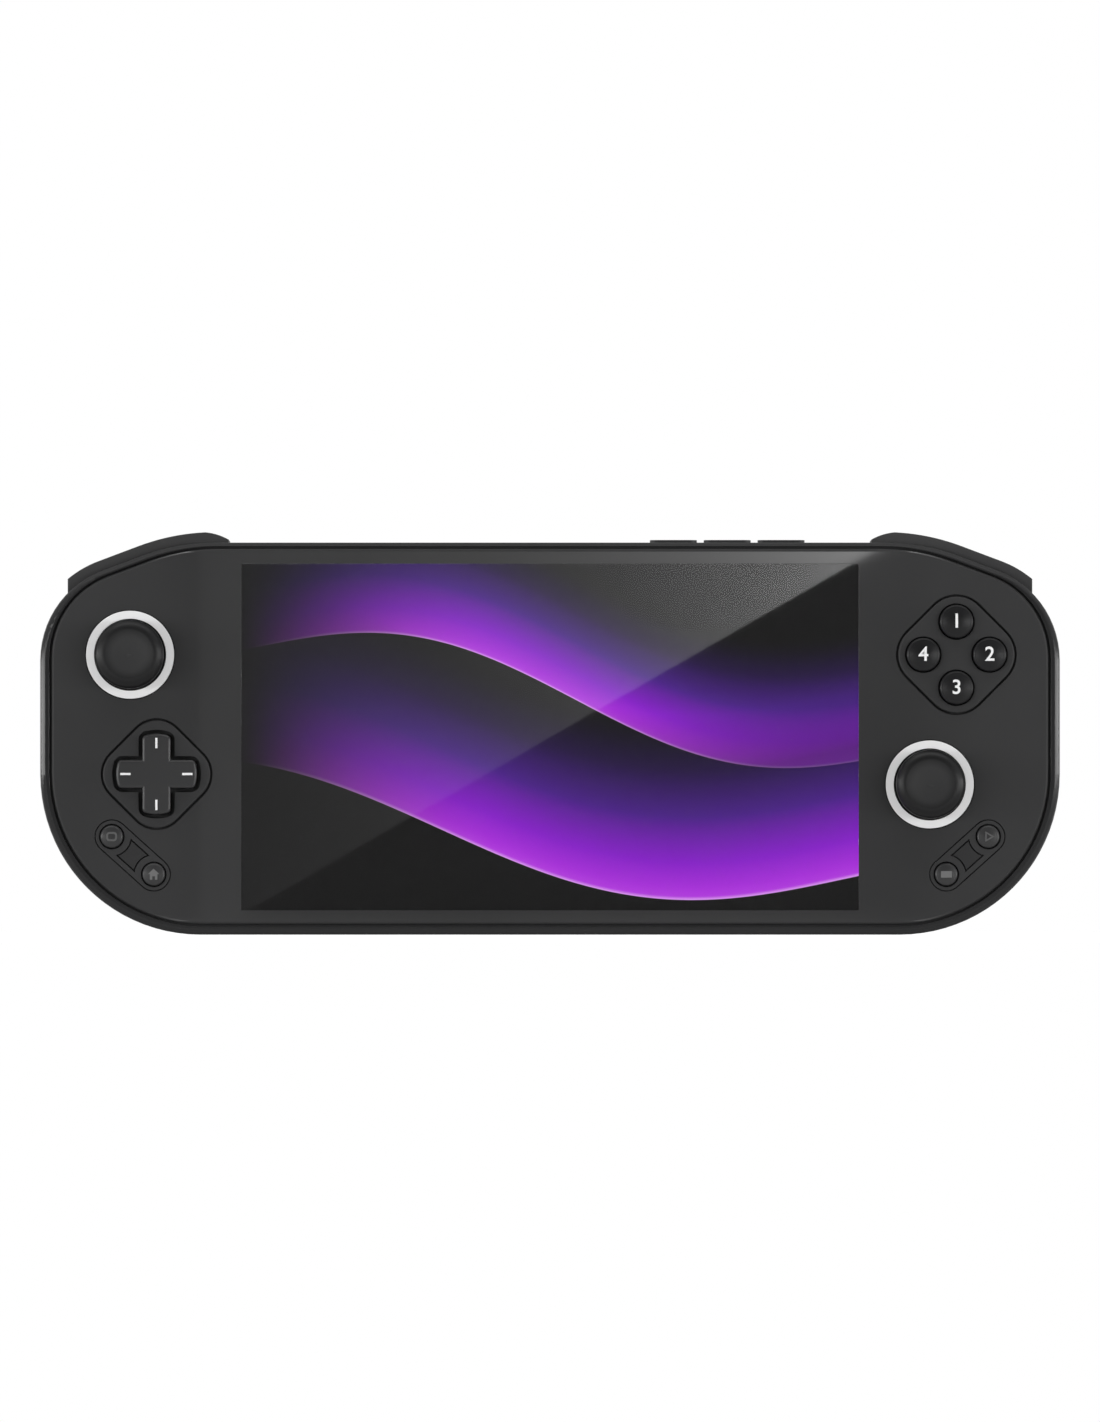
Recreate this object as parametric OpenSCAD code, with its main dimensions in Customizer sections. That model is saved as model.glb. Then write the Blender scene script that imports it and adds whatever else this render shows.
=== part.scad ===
// Handheld game console standing on its bottom edge, screen facing -Y

/* [Body] */
// Width of the body across both grips
body_w = 188; // [186:1:196]
// Height of the body from its bottom edge to its top edge
body_h = 72.3; // [72:0.1:76]
// Thickness of the body from the front panel to the back
body_t = 17; // [16.8:0.1:19]
// Radius where the top edge bends into the shoulder slope
shoulder_r = 38; // [36:0.5:40]
// Length of the straight part of each shoulder slope
shoulder_run = 8; // [7:0.5:9]
// Radius of the upper corners
corner_r = 17.5; // [16.5:0.5:18.5]
// Radius of the lower corners
bottom_r = 29.5; // [28:0.5:30.5]
// Wall thickness of both shells
wall = 1.8; // [1.6:0.1:2]
// Rounding of the rim round the front panel
rim_r = 1.1; // [0.8:0.1:1.3]
// Rounding of the back edge
back_r = 5; // [4:0.5:5.5]
// Depth of the front frame, from the face to the seam
front_depth = 9.2; // [9.1:0.1:9.5]
// Width and depth of the groove along the seam
seam_groove = 0.3; // [0.2:0.05:0.5]

/* [Front panel] */
// Thickness of the front panel
panel_t = 1.2; // [1.1:0.1:1.3]
// Distance of the panel edge from the sides of the body
panel_side = 2.1; // [1.9:0.1:2.4]
// Distance of the panel edge from the top of the body
panel_top = 1.1; // [1:0.1:1.4]
// Distance of the panel edge from the bottom of the body
panel_base = 1.9; // [1.7:0.1:2.2]
// Width of the groove round the panel
panel_gap = 0.4; // [0.3:0.05:0.5]
// Rounding of the panel edge
panel_edge_r = 0.5; // [0.3:0.1:0.7]
// Thickness of the frame plate that the panel lies on
plate_t = 1.2; // [1:0.1:1.3]
// Height of the control plates above the panel
bezel_rise = 0.12; // [0.05:0.01:0.2]
// Rounding of the control plate edges
bezel_edge_r = 0.3; // [0.2:0.05:0.4]
// Width of the groove round the two diamond plates
bezel_gap = 0.4; // [0.3:0.05:0.5]
// Width of the hairline round the glass
hairline = 0.1; // [0.06:0.02:0.2]

/* [Display] */
// Distance of the picture from the sides of the body
screen_side = 37.1; // [36.8:0.1:38]
// Distance of the picture from the top of the body
screen_top = 3.9; // [3.6:0.1:5]
// Distance of the picture from the bottom of the body
screen_base = 4.5; // [4.4:0.1:5]
// Border of the display module left and right of the picture
lcd_side_border = 0.5; // [0.3:0.1:0.6]
// Border of the display module above and below the picture
lcd_border = 1.1; // [0.9:0.1:1.2]
// Thickness of the display module
lcd_t = 2.4; // [2.2:0.1:2.5]
// Thickness of the display bracket
bracket_t = 0.8; // [0.6:0.1:0.9]
// Height of the bracket's lower edge above the bottom of the body
bracket_base = 17; // [16.5:0.5:18]

/* [Sticks] */
// Distance of the left stick from the left side
left_stick_side = 16.6; // [16.4:0.1:17.2]
// Distance of the left stick from the top edge
left_stick_drop = 20.7; // [20.5:0.1:21.5]
// Distance of the right stick from the right side
right_stick_side = 24; // [23.5:0.1:24.4]
// Height of the right stick above the bottom edge
right_stick_base = 27.7; // [27:0.1:28.5]
// Depth of the tilting centre behind the face
pivot_depth = 5.2; // [5.1:0.05:5.4]
// Height of the stick caps above the face
stick_rise = 6; // [5.9:0.1:6.4]
// Height of the underside of the caps above the face
cap_lift = 3.5; // [3.4:0.05:3.6]
// Radius of the stick caps
cap_r = 6.35; // [6:0.05:6.5]
// Rounding of the cap's upper edge
cap_edge_r = 1.8; // [1.5:0.1:1.8]
// Depth of the dish in the cap
cap_dish = 0.35; // [0.2:0.05:0.5]
// Outer radius of the light rings
ring_r = 8.1; // [8:0.05:8.2]
// Width of the dark line round the light rings
ring_line = 0.2; // [0.1:0.05:0.25]
// Inner radius of the light rings
ring_hole_r = 6.65; // [6.6:0.05:6.8]
// Radius of the stick posts
post_r = 1.5; // [1.3:0.1:1.7]
// Radius of the dust domes
dome_r = 6.9; // [6.6:0.05:6.95]
// Angle from the stick axis to the rim of the dust dome
dome_angle = 48; // [40:1:49]
// Radius of the yoke pins
yoke_pin_r = 0.9; // [0.7:0.05:0.95]
// Radius of the pins across the posts
post_pin_r = 0.8; // [0.6:0.05:0.82]
// Radius of the stick housings
housing_r = 8; // [7.9:0.05:8.1]
// Distance that a stick can be pressed
stick_click = 0.4; // [0.3:0.05:0.45]

/* [Direction pad] */
// Distance of the pad from the left side
dpad_side = 21.5; // [21:0.1:22]
// Height of the pad above the bottom edge
dpad_base = 29.6; // [29:0.1:30]
// Reach of the arms from the middle of the pad
dpad_r = 7.45; // [7.2:0.05:7.5]
// Radius of the bow at the arm ends, which with the corners sets the width of the arms
dpad_bow_r = 7.1; // [6.8:0.1:7.2]
// Radius of the arm corners
dpad_corner_r = 0.85; // [0.7:0.05:0.9]
// Rounding of the pad's front edge
dpad_edge_r = 0.5; // [0.3:0.1:0.6]
// Height of the pad above the face
dpad_rise = 1.5; // [1.2:0.1:1.8]
// Gap round the arms
dpad_gap = 0.7; // [0.6:0.05:0.75]
// Side of the square plate round the pad, which stands on a corner
dpad_plate_side = 17.8; // [17.6:0.1:18]
// Corner radius of that plate
dpad_plate_r = 5.5; // [5:0.1:6]
// Radius of the pivot ball
ball_r = 1.6; // [1.4:0.05:1.65]

/* [Face buttons] */
// Distance of the button group from the right side
face_side = 19.1; // [19:0.1:19.6]
// Distance of the button group from the top edge
face_drop = 20.7; // [20.5:0.1:21]
// Distance of each button from the middle of the group
face_pitch = 6.1; // [5.9:0.05:6.2]
// Radius of the face buttons
face_r = 3.1; // [2.9:0.05:3.15]
// Height of the face buttons above the face
face_rise = 1.3; // [1:0.1:1.5]
// Distance that a face button can be pressed
face_travel = 1.2; // [0.8:0.1:1.3]
// Side of the square plate round the buttons, which stands on a corner
face_plate_side = 19.3; // [19:0.1:19.6]
// Corner radius of that plate
face_plate_r = 6.1; // [5.8:0.1:6.4]

/* [Menu buttons] */
// Distance of each pill's middle from the side
menu_side = 17.1; // [17:0.1:17.6]
// Height of each pill's middle above the bottom edge
menu_base = 14.6; // [14.2:0.1:15]
// Distance between the two buttons of a pill
menu_pitch = 10.4; // [10.2:0.1:10.8]
// Slant of the pills in degrees
menu_angle = 42; // [40:1:44]
// Radius of the menu buttons
menu_r = 2.1; // [1.9:0.05:2.15]
// Height of the menu buttons above the face
menu_rise = 0.5; // [0.3:0.1:0.8]
// Half the width of the pills
pill_r = 2.95; // [2.85:0.05:3.05]
// Width of the line round the pills
pill_line = 0.2; // [0.1:0.05:0.25]
// Width of the inlay tile in each pill
inlay_w = 3.6; // [3.4:0.05:3.8]
// Radius of the tile's hollow ends
inlay_end_r = 3.75; // [3.6:0.05:3.9]
// Width of the line round the tile
inlay_line = 0.25; // [0.1:0.05:0.3]

/* [Shoulders] */
// Height of the shoulder pieces above the outline
paddle_proud = 2; // [1.6:0.1:2.2]
// Depth of the shoulder pieces inside the outline
paddle_depth = 4; // [3.8:0.1:4.2]
// Distance of the outer end from the side
paddle_outer = 5; // [5:0.1:5.4]
// Distance of the inner end from the side
paddle_inner = 34.7; // [34.5:0.1:34.8]
// Distance from the side to where the inner end starts to round down
paddle_crown = 29.5; // [29:0.1:29.8]
// Radius of the rounded inner end
paddle_end_r = 10.5; // [10:0.5:11.5]
// Distance of the hinge pin from the side
pin_side = 32.1; // [31.9:0.1:32.3]
// Distance of the hinge pin from the top edge
pin_drop = 2.9; // [2.8:0.1:3]
// Radius of the hinge pins
pin_r = 0.75; // [0.6:0.05:0.8]
// Depth of the front of the bumpers behind the face
bumper_front = 2.8; // [2.7:0.05:2.9]
// Length of the bumpers from front to back
bumper_t = 5; // [4.8:0.1:5.1]
// Length of the triggers from front to back
trigger_t = 5.6; // [5.3:0.1:5.7]

/* [Top keys] */
// Distance of the first key from the middle of the body
key_start = 22.8; // [22:0.1:23]
// Distance between the keys
key_pitch = 9.95; // [9.9:0.05:10.2]
// Length of each key
key_w = 8.7; // [8.2:0.1:8.8]
// Width of each key
key_t = 2.6; // [2.2:0.1:2.8]
// Height of the keys above the top edge
key_rise = 0.6; // [0.4:0.05:0.6]
// Distance that a key can be pressed
key_travel = 0.35; // [0.25:0.05:0.4]

/* [Ports] */
// Radius of the headphone socket
jack_r = 1.8; // [1.78:0.01:1.82]
// Width of the card slot
card_w = 11.6; // [11.4:0.1:11.8]
// Width of the charging port's shell
usb_w = 8.94; // [8.9:0.01:9]
// Height of the charging port's shell
usb_t = 3.26; // [3.2:0.01:3.3]
// Distance of the speakers from the sides of the body
speaker_side = 44; // [43.5:0.5:45]
// Distance of the headphone socket from the left speaker
jack_pitch = 22; // [20:0.5:24]
// Distance of the card socket from the right speaker
card_pitch = 22; // [20:0.5:24]

/* [Fits] */
// Gap between round pieces that turn or slide in each other
fit = 0.05; // [0.03:0.01:0.06]
// Gap between flat pieces that lie next to each other
seat_gap = 0.1; // [0.05:0.05:0.2]
// Gap round moving pieces in the shells
move_gap = 0.35; // [0.3:0.05:0.4]

/* [Hidden] */
$fn = 72;

// Direction of the shoulder slope as its run and fall per unit length
slope_run = 0.936;
slope_fall = 0.352;
// Half the width of the body
half_w = body_w / 2;
// Place of the panel's front face, so that the depth is centred on the origin
z_face = (body_t - stick_rise) / 2;
// Depths behind the face
plate_back = panel_t + plate_t;
lcd_back = panel_t + lcd_t;
bracket_front = lcd_back + 2 * seat_gap;
bracket_back = bracket_front + bracket_t;
board_t = 1.2;
flange_seat = 0.6;
standoff_h = 1.4;
main_front = bracket_back + standoff_h;
main_back = main_front + board_t;
control_front = pivot_depth + flange_seat;
control_back = control_front + board_t;
membrane_t = 0.6;
membrane_front = control_front - membrane_t;
flange_front = plate_back + seat_gap;
port_front = 8.5;
port_board_t = 1.1;
port_back = port_front + port_board_t;
case_lip = 0.4;
case_meet = front_depth + case_lip;
boss_root = panel_t + plate_t / 3;
inner_back = body_t - wall;
post_root = inner_back + wall / 4;
cut_over = 1;
// Distance below which two points are one
same = 0.001;
// Flat left between two rounds that would else meet in a line
land = 0.05;
// Display
screen_w = body_w - 2 * screen_side;
screen_h = body_h - screen_base - screen_top;
lcd_w = screen_w + 2 * lcd_side_border;
lcd_h = screen_h + 2 * lcd_border;
lcd_gap = 0.3;
lcd_half = lcd_w / 2;
screen_mid = screen_base + screen_h / 2;
screen_corner_r = 1;
// Places of the controls
left_stick = [-half_w + left_stick_side, body_h - left_stick_drop];
right_stick = [half_w - right_stick_side, right_stick_base];
dpad = [-half_w + dpad_side, dpad_base];
face_group = [half_w - face_side, body_h - face_drop];
face_spots = [for (k = [0:3]) face_group + face_pitch * [sin(90 * k), cos(90 * k)]];
left_pill = [-half_w + menu_side, menu_base];
// Buttons
button_gap = 0.25;
button_edge_r = 0.5;
face_crown = 0.4;
menu_crown = 0.2;
dome_solid = 0.6;
face_flange_t = membrane_front - flange_front - face_travel - dome_solid;
face_flange_r = 3.9;
menu_flange_r = 2.8;
menu_flange_t = 0.7;
dome_gap = 0.05;
plate_play = 0.2;
// Direction pad, with the slant of its arm ends as a run and rise per unit length
bow_run = 0.96;
bow_rise = 0.28;
dpad_arm_w = 2 * (bow_rise * (dpad_bow_r - dpad_corner_r) + dpad_corner_r);
dpad_pivot = 2.8;
dpad_flange_r = 8.5;
dpad_flange_front = 3.5;
dpad_flange_back = 4.3;
dpad_cup = 0.3;
dpad_post_r = 2.3;
dpad_hollow_r = 3.1;
dpad_dome_reach = 5.2;
dpad_membrane_r = 9.2;
dpad_dome = [2.1, 1.5];
face_dome = [2.5, 1.8];
menu_dome = [1.8, 1.3];
// Sticks, measured from the tilting centre
housing_top = 1.75;
housing_base = -4.4;
housing_lip = 0.2;
housing_wall = 1.05;
housing_lip_r = 6.2;
housing_ledge_r = 5.9;
housing_floor = 1;
housing_flange_r = 9.4;
housing_flange_t = 0.8;
cradle_r = 6.8;
cradle_hole_r = 5.6;
cradle_h = 2.8;
yoke_r = 5.2;
yoke_hole_r = 3.6;
yoke_h = 2.2;
yoke_pin_reach = 6.5;
post_pin_reach = 4.9;
hub_r = 2.4;
post_tail = 2.6;
dome_t = 0.5;
cap_under = pivot_depth + cap_lift;
cap_top = pivot_depth + stick_rise;
cap_neck_r = 3.2;
cap_neck_h = 1.3;
cap_low_edge_r = 0.6;
cap_roof = 1;
ring_rise = 0.1;
ring_step = 0.25;
ring_seat_r = ring_hole_r + ring_step;
// Shoulders
bumper_back = bumper_front + bumper_t;
paddle_gap = 0.4;
trigger_front = bumper_back + paddle_gap;
trigger_back = trigger_front + trigger_t;
pocket_depth = 7;
pocket_over = 4;
pocket_drop = 18.8;
paddle_hub_r = 1.9;
hook_gap = 0.75;
hook_t = 1.4;
hook_reach = 2.2;
hook_drop = 16.3;
pin_spot = [-half_w + pin_side, body_h - pin_drop];
pin_grip = 0.8;
slope_end = [
  -half_w + (1 - slope_fall) * corner_r,
  body_h - (1 - slope_run) * shoulder_r - slope_fall * shoulder_run
];
switch_board_x = 8.5;
switch_board_w = 8;
switch_board_y = -8.6;
switch_board_t = 0.8;
switch_board_back = 13.2;
switch_w = 3;
switch_top = -5.7;
plunger_top = -5.1;
plunger_r = 0.8;
spring_x = -0.5;
spring_depth = 11.4;
spring_r = 1.3;
spring_wire_r = 0.2;
spring_turns = 3.5;
spring_top = -4.35;
spring_base = -7.55;
rib_y = -9.3;
rib_t = 1.5;
rib_w = 4.4;
// Top keys
key_depth = 6.2;
key_play = 0.15;
key_flange_over = 0.4;
key_flange_t = 0.8;
key_flange_top = body_h - wall - seat_gap;
key_board_drop = 5.4;
key_board_y = body_h - key_board_drop;
key_board_t = 0.8;
key_board_w = 3.2;
key_switch_h = 1.1;
key_plunger_top = key_flange_top - key_flange_t - key_travel - seat_gap;
// Boards and what is on them
battery_margin = 12.4;
battery_base = bracket_base + 2 * seat_gap;
battery_w = lcd_w - 2 * battery_margin;
battery_h = 24.5;
battery_t = 8;
battery_r = 2;
bracket_margin = 0.4;
bracket_w = lcd_w - 2 * bracket_margin;
tab_w = 5;
bracket_top = 3.9;
bracket_h = body_h - bracket_base - bracket_top;
main_margin = 3.4;
main_w = lcd_w - 2 * main_margin;
main_gap = 1.3;
main_base = battery_base + battery_h + main_gap;
main_h = key_board_y - main_base;
chip = 12;
chip_t = 1.3;
chip_reach = 7.2;
can_w = 32;
can_h = 18;
can_t = 2.2;
can_wall = 0.4;
can_spot = [0, main_base + main_h / 2];
board_clearance = 2.8;
board_edge = 4;
board_upper_edge = 9;
speaker_x = half_w - speaker_side;
jack_x = speaker_x - jack_pitch;
card_x = speaker_x - card_pitch;
port_margin = 12;
port_w = jack_x + card_x + 2 * port_margin;
port_base = 2.6;
port_h = 8.9;
jack_t = 4.7;
jack_w = 6.2;
jack_l = 14.2;
jack_nose_r = 2.3;
jack_depth = port_front - jack_t / 2;
usb_l = 7.3;
usb_wall = 0.3;
usb_tongue = [6.6, 0.7];
usb_depth = port_front - usb_t / 2;
card_t = 1.9;
card_l = 14;
card_slot_t = 1.3;
card_rim = 1.6;
card_depth = port_front - card_t / 2;
port_seat = 0.5;
port_play = 0.25;
speaker_w = 16;
speaker_h = 7.9;
speaker_front = 4.2;
speaker_back = 9;
speaker_slots = 5;
speaker_slot_pitch = 2.4;
speaker_slot = [1, 3.6];
speaker_slot_r = 0.4;
speaker_rim = 1.5;
speaker_cone_t = 4;
// Fasteners
case_boss_r = 2.4;
rear_boss_r = 2.6;
boss_clearance = 0.5;
port_post_r = 2;
case_screw_r = 0.95;
case_head_r = 1.8;
case_head_h = 1.4;
case_head_depth = 2;
case_head_seat = body_t - case_head_depth;
case_screw_bite = 4.5;
board_screw_r = 0.75;
board_head_r = 1.4;
board_head_h = 0.7;
board_screw_l = 2.5;
board_post_r = 1.8;
bracket_boss_r = 1.6;
slot_w = 0.5;
slot_share = 0.6;
// Left-hand places of the fasteners
case_side = 5.6;
case_inner = 5;
case_drop = 10.3;
case_base = 8.5;
case_spots = [
  [-half_w + case_side, body_h / 2],
  [-lcd_half - case_inner, body_h - case_drop],
  [-lcd_half - case_inner, case_base]
];
board_post_side = 7.5;
board_post_base = 27.5;
board_post_inner = 6.1;
board_post_drop = 26.3;
board_post_spots = [
  [-half_w + board_post_side, board_post_base],
  [-lcd_half - board_post_inner, body_h - board_post_drop]
];
tab_reach = 3.5;
tab_low = 2.5;
tab_high = 24;
bracket_spots = [
  for (y = [tab_high, tab_low])
    [-lcd_half - tab_reach, bracket_base + y]
];
standoff_side = 4;
standoff_edge = 3.5;
standoff_spots = [
  for (y = [standoff_edge, main_h - standoff_edge])
    [-main_w / 2 + standoff_side, main_base + y]
];
port_post_reach = 8;
port_post_base = 7;
port_post_spot = [-jack_x - port_post_reach, port_post_base];
// Back
grip_lines = 9;
grip_pitch = 4.2;
grip_line_w = 18;
grip_line_t = 0.9;
grip_line_depth = 0.3;
grip_side = 18;
grip_mid = [-half_w + grip_side, body_h / 2];

shell_grey = "#2e2f31";
panel_grey = "#38393b";
key_grey = "#35363a";
black = "#161618";
board_green = "#1f4d35";
metal = "#b8bbc0";
rubber = "#4a4d52";
white = "#e4e4e4";

// Arcs that bound a face, counter-clockwise, each as its centre, radius, first and last direction
function face_arcs(half, base, top, top_r, upper_r, lower_r) =
  let (
    upper_y = top - (1 - slope_run) * top_r - slope_fall * shoulder_run - slope_run * upper_r,
    top_x = half - slope_fall * top_r - slope_run * shoulder_run - (1 - slope_fall) * upper_r
  )
  [
    [[half - lower_r, base + lower_r], lower_r, [0, -1], [1, 0]],
    [[half - upper_r, upper_y], upper_r, [1, 0], [slope_fall, slope_run]],
    [[top_x, top - top_r], top_r, [slope_fall, slope_run], [0, 1]],
    [[-top_x, top - top_r], top_r, [0, 1], [-slope_fall, slope_run]],
    [[-half + upper_r, upper_y], upper_r, [-slope_fall, slope_run], [-1, 0]],
    [[-half + lower_r, base + lower_r], lower_r, [-1, 0], [0, -1]]
  ];

// Arcs of a box with round corners, centred on the origin
function box_arcs(w, h, r) = [
  [[w / 2 - r, -h / 2 + r], r, [0, -1], [1, 0]],
  [[w / 2 - r, h / 2 - r], r, [1, 0], [0, 1]],
  [[-w / 2 + r, h / 2 - r], r, [0, 1], [-1, 0]],
  [[-w / 2 + r, -h / 2 + r], r, [-1, 0], [0, -1]]
];

// Arcs of a bar with bowed ends, centred on the origin
function bar_arcs(reach, w, bow_r, r) =
  let (
    bow_x = reach - bow_r,
    x = bow_x + (bow_r - r) * bow_run,
    y = w / 2 - r
  )
  [
    [[bow_x, 0], bow_r, [bow_run, -bow_rise], [bow_run, bow_rise]],
    [[x, y], r, [bow_run, bow_rise], [0, 1]],
    [[-x, y], r, [0, 1], [-bow_run, bow_rise]],
    [[-bow_x, 0], bow_r, [-bow_run, bow_rise], [-bow_run, -bow_rise]],
    [[-x, -y], r, [-bow_run, -bow_rise], [0, -1]],
    [[x, -y], r, [0, -1], [bow_run, -bow_rise]]
  ];

function arc_point(a, direction, inset) = a[0] + (a[1] - inset) * direction;

// Ends of an arc, without the last one where the next arc starts there
function arc_ends(a, next, inset) =
  let (
    first = arc_point(a, a[2], inset),
    last = arc_point(a, a[3], inset)
  )
  norm(arc_point(next, next[2], inset) - last) > same ? [first, last] : [first];

dpad_arcs = bar_arcs(dpad_r, dpad_arm_w, dpad_bow_r, dpad_corner_r);
body_arcs = face_arcs(half_w, 0, body_h, shoulder_r, corner_r, bottom_r);
panel_shrink = 1.5;
panel_arcs = face_arcs(
  half_w - panel_side, panel_base, body_h - panel_top,
  shoulder_r - panel_shrink, corner_r - panel_shrink, bottom_r - panel_shrink
);

// Wedge between two directions
module wedge(reach, first, last) {
  polygon([[0, 0], reach * first, reach * (first + last), reach * last]);
}

// Face inside a ring of arcs, pulled in by the inset
module region(arcs, inset = 0) {
  count = len(arcs);
  polygon([for (k = [0:count - 1]) each arc_ends(arcs[k], arcs[(k + 1) % count], inset)]);
  for (a = arcs)
    translate(a[0])
      intersection() {
        circle(a[1] - inset);
        wedge(2 * a[1], a[2], a[3]);
      }
}

// Carries a profile round a ring of arcs, with x outward from the edge and y along the depth
module sweep(arcs) {
  for (k = [0:len(arcs) - 1]) {
    a = arcs[k];
    next = arcs[(k + 1) % len(arcs)];
    start = arc_point(a, a[3], 0);
    run = norm(arc_point(next, next[2], 0) - start);
    translate(a[0])
      intersection() {
        rotate_extrude()
          translate([a[1], 0])
            children();
        translate([0, 0, -body_t])
          linear_extrude(2 * body_t)
            wedge(2 * a[1] + cut_over, a[2], a[3]);
      }
    if (run > same)
      multmatrix([
        [a[3][0], -a[3][1], 0, start[0]],
        [a[3][1], a[3][0], 0, start[1]],
        [0, 0, 1, 0],
        [0, 0, 0, 1]
      ])
        translate([0, run, 0])
          rotate([90, 0, 0])
            linear_extrude(run)
              children();
  }
}

// Stands the flat model up, so that its face looks along -Y
module stand() {
  rotate([90, 0, 0])
    children();
}

// Slab between two depths behind the face
module layer(front, back) {
  translate([0, 0, z_face - back])
    linear_extrude(back - front)
      children();
}

module disc(spot, r, front, back) {
  layer(front, back)
    translate(spot)
      circle(r);
}

module tube(spot, r, hole_r, front, back) {
  layer(front, back)
    translate(spot)
      difference() {
        circle(r);
        circle(hole_r);
      }
}

// Shape drawn across the width and depth, standing up from a given height
module rising(x, depth, base, height) {
  translate([x, base, z_face - depth])
    rotate([-90, 0, 0])
      linear_extrude(height)
        children();
}

module at(spot, turn = 0) {
  translate([spot[0], spot[1], 0])
    rotate([0, 0, turn])
      children();
}

module at_pivot(spot) {
  translate([spot[0], spot[1], z_face - pivot_depth])
    children();
}

module both_sides() {
  children();
  mirror([1, 0, 0])
    children();
}

// Frame on the left shoulder slope, x toward the middle and y outward
module on_slope() {
  multmatrix([
    [slope_run, -slope_fall, 0, slope_end[0]],
    [slope_fall, slope_run, 0, slope_end[1]],
    [0, 0, 1, z_face],
    [0, 0, 0, 1]
  ])
    children();
}

module quarter(r) {
  intersection() {
    circle(r);
    square(r);
  }
}

// Slab whose front edge is rounded
module rounded_front(arcs, inset, front, back, r) {
  layer(front + r, back)
    region(arcs, inset);
  layer(front, front + r)
    region(arcs, inset + r);
  sweep(arcs)
    translate([-inset - r, z_face - front - r])
      quarter(r);
}

// Slab whose back edge is rounded
module rounded_back(arcs, inset, front, back, r) {
  layer(front, back - r)
    region(arcs, inset);
  layer(back - r, back)
    region(arcs, inset + r);
  sweep(arcs)
    translate([-inset - r, z_face - back + r])
      mirror([0, 1])
        quarter(r);
}

// Cross with round arm ends
module cross(reach, arm_w) {
  intersection() {
    circle(reach);
    union() {
      square([2 * reach, arm_w], center = true);
      square([arm_w, 2 * reach], center = true);
    }
  }
}

// Left-hand places of the two menu buttons of a pill, outer one first
function menu_spot(k) =
  left_pill + (k - 0.5) * menu_pitch * [cos(menu_angle), -sin(menu_angle)];

function mirrored(spot) = [-spot[0], spot[1]];

menu_spots = [menu_spot(0), menu_spot(1), mirrored(menu_spot(0)), mirrored(menu_spot(1))];

// Front frame
module frame_shell() {
  difference() {
    rounded_front(body_arcs, 0, 0, front_depth, rim_r);
    layer(-cut_over, panel_t)
      region(panel_arcs, -panel_gap);
    layer(plate_back, front_depth + cut_over)
      region(body_arcs, wall);
    layer(front_depth - seam_groove, front_depth + cut_over)
      difference() {
        region(body_arcs, -cut_over);
        region(body_arcs, seam_groove);
      }
  }
}

module frame_bosses() {
  both_sides() {
    for (spot = case_spots)
      disc(spot, case_boss_r, boss_root, case_meet);
    for (spot = board_post_spots)
      disc(spot, board_post_r, boss_root, control_front);
    for (spot = bracket_spots)
      disc(spot, bracket_boss_r, boss_root, bracket_front);
  }
}

module frame_pilots() {
  both_sides() {
    for (spot = case_spots)
      disc(spot, case_screw_r + fit, case_meet - case_screw_bite - seat_gap, case_meet + cut_over);
    for (spot = board_post_spots)
      disc(spot, board_screw_r + fit, control_back - board_screw_l - seat_gap, control_front + cut_over);
    for (spot = bracket_spots)
      disc(spot, board_screw_r + fit, bracket_back - board_screw_l - seat_gap, bracket_front + cut_over);
    disc(pin_spot, pin_r + fit, plate_back - pin_grip - seat_gap, plate_back + cut_over);
  }
}

// Hole for the direction pad, wider than the pad by the gap
module dpad_hole(gap, front, back) {
  for (turn = [0, 90])
    at(dpad, turn)
      layer(front, back)
        region(dpad_arcs, -gap);
}

module control_openings(front, back) {
  for (spot = [left_stick, right_stick])
    disc(spot, ring_seat_r, front, back);
  dpad_hole(dpad_gap + plate_play, front, back);
  for (spot = face_spots)
    disc(spot, face_r + button_gap + plate_play, front, back);
  for (spot = menu_spots)
    disc(spot, menu_r + button_gap + plate_play, front, back);
}

// Room that the left bumper and trigger move in
module shoulder_pocket() {
  layer(bumper_front - move_gap, trigger_back + move_gap)
    intersection() {
      difference() {
        region(body_arcs, -pocket_over);
        region(body_arcs, pocket_depth);
      }
      translate([-half_w + paddle_outer - move_gap, body_h - pocket_drop])
        square([paddle_inner - paddle_outer + 2 * move_gap, body_h]);
    }
}

module key_slots() {
  for (k = [0:2])
    rising(key_start + k * key_pitch, key_depth, body_h - 2 * wall, 3 * wall)
      region(box_arcs(key_w + 2 * key_play, key_t + 2 * key_play, key_t / 2));
}

module port_openings() {
  rising(0, usb_depth, -wall, 3 * wall)
    region(box_arcs(usb_w + 2 * port_play, usb_t + 2 * port_play, usb_t / 2));
  rising(-jack_x, jack_depth, -wall, 3 * wall)
    circle(jack_nose_r + port_play);
  rising(card_x, card_depth, -wall, 3 * wall)
    square([card_w, card_slot_t], center = true);
  both_sides()
    for (k = [0:speaker_slots - 1])
      rising(
        speaker_x + (k - (speaker_slots - 1) / 2) * speaker_slot_pitch,
        (speaker_front + speaker_back) / 2, -wall, 3 * wall
      )
        region(box_arcs(speaker_slot[0], speaker_slot[1], speaker_slot_r));
}

module front_frame() {
  color(shell_grey)
    stand()
      difference() {
        union() {
          frame_shell();
          frame_bosses();
        }
        layer(0, plate_back + cut_over)
          translate([0, screen_mid])
            square([lcd_w + 2 * lcd_gap, lcd_h + 2 * lcd_gap], center = true);
        control_openings(0, plate_back + cut_over);
        frame_pilots();
        both_sides()
          shoulder_pocket();
        key_slots();
        port_openings();
      }
}

// Front panel and what is set in it
module diamond(spot, side, r, front, back) {
  at(spot, 45)
    layer(front, back)
      region(box_arcs(side, side, r));
}

module pill(inset, front, back) {
  at(left_pill, -menu_angle)
    layer(front, back)
      region(box_arcs(menu_pitch + 2 * pill_r, 2 * pill_r, pill_r - land), inset);
}

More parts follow.
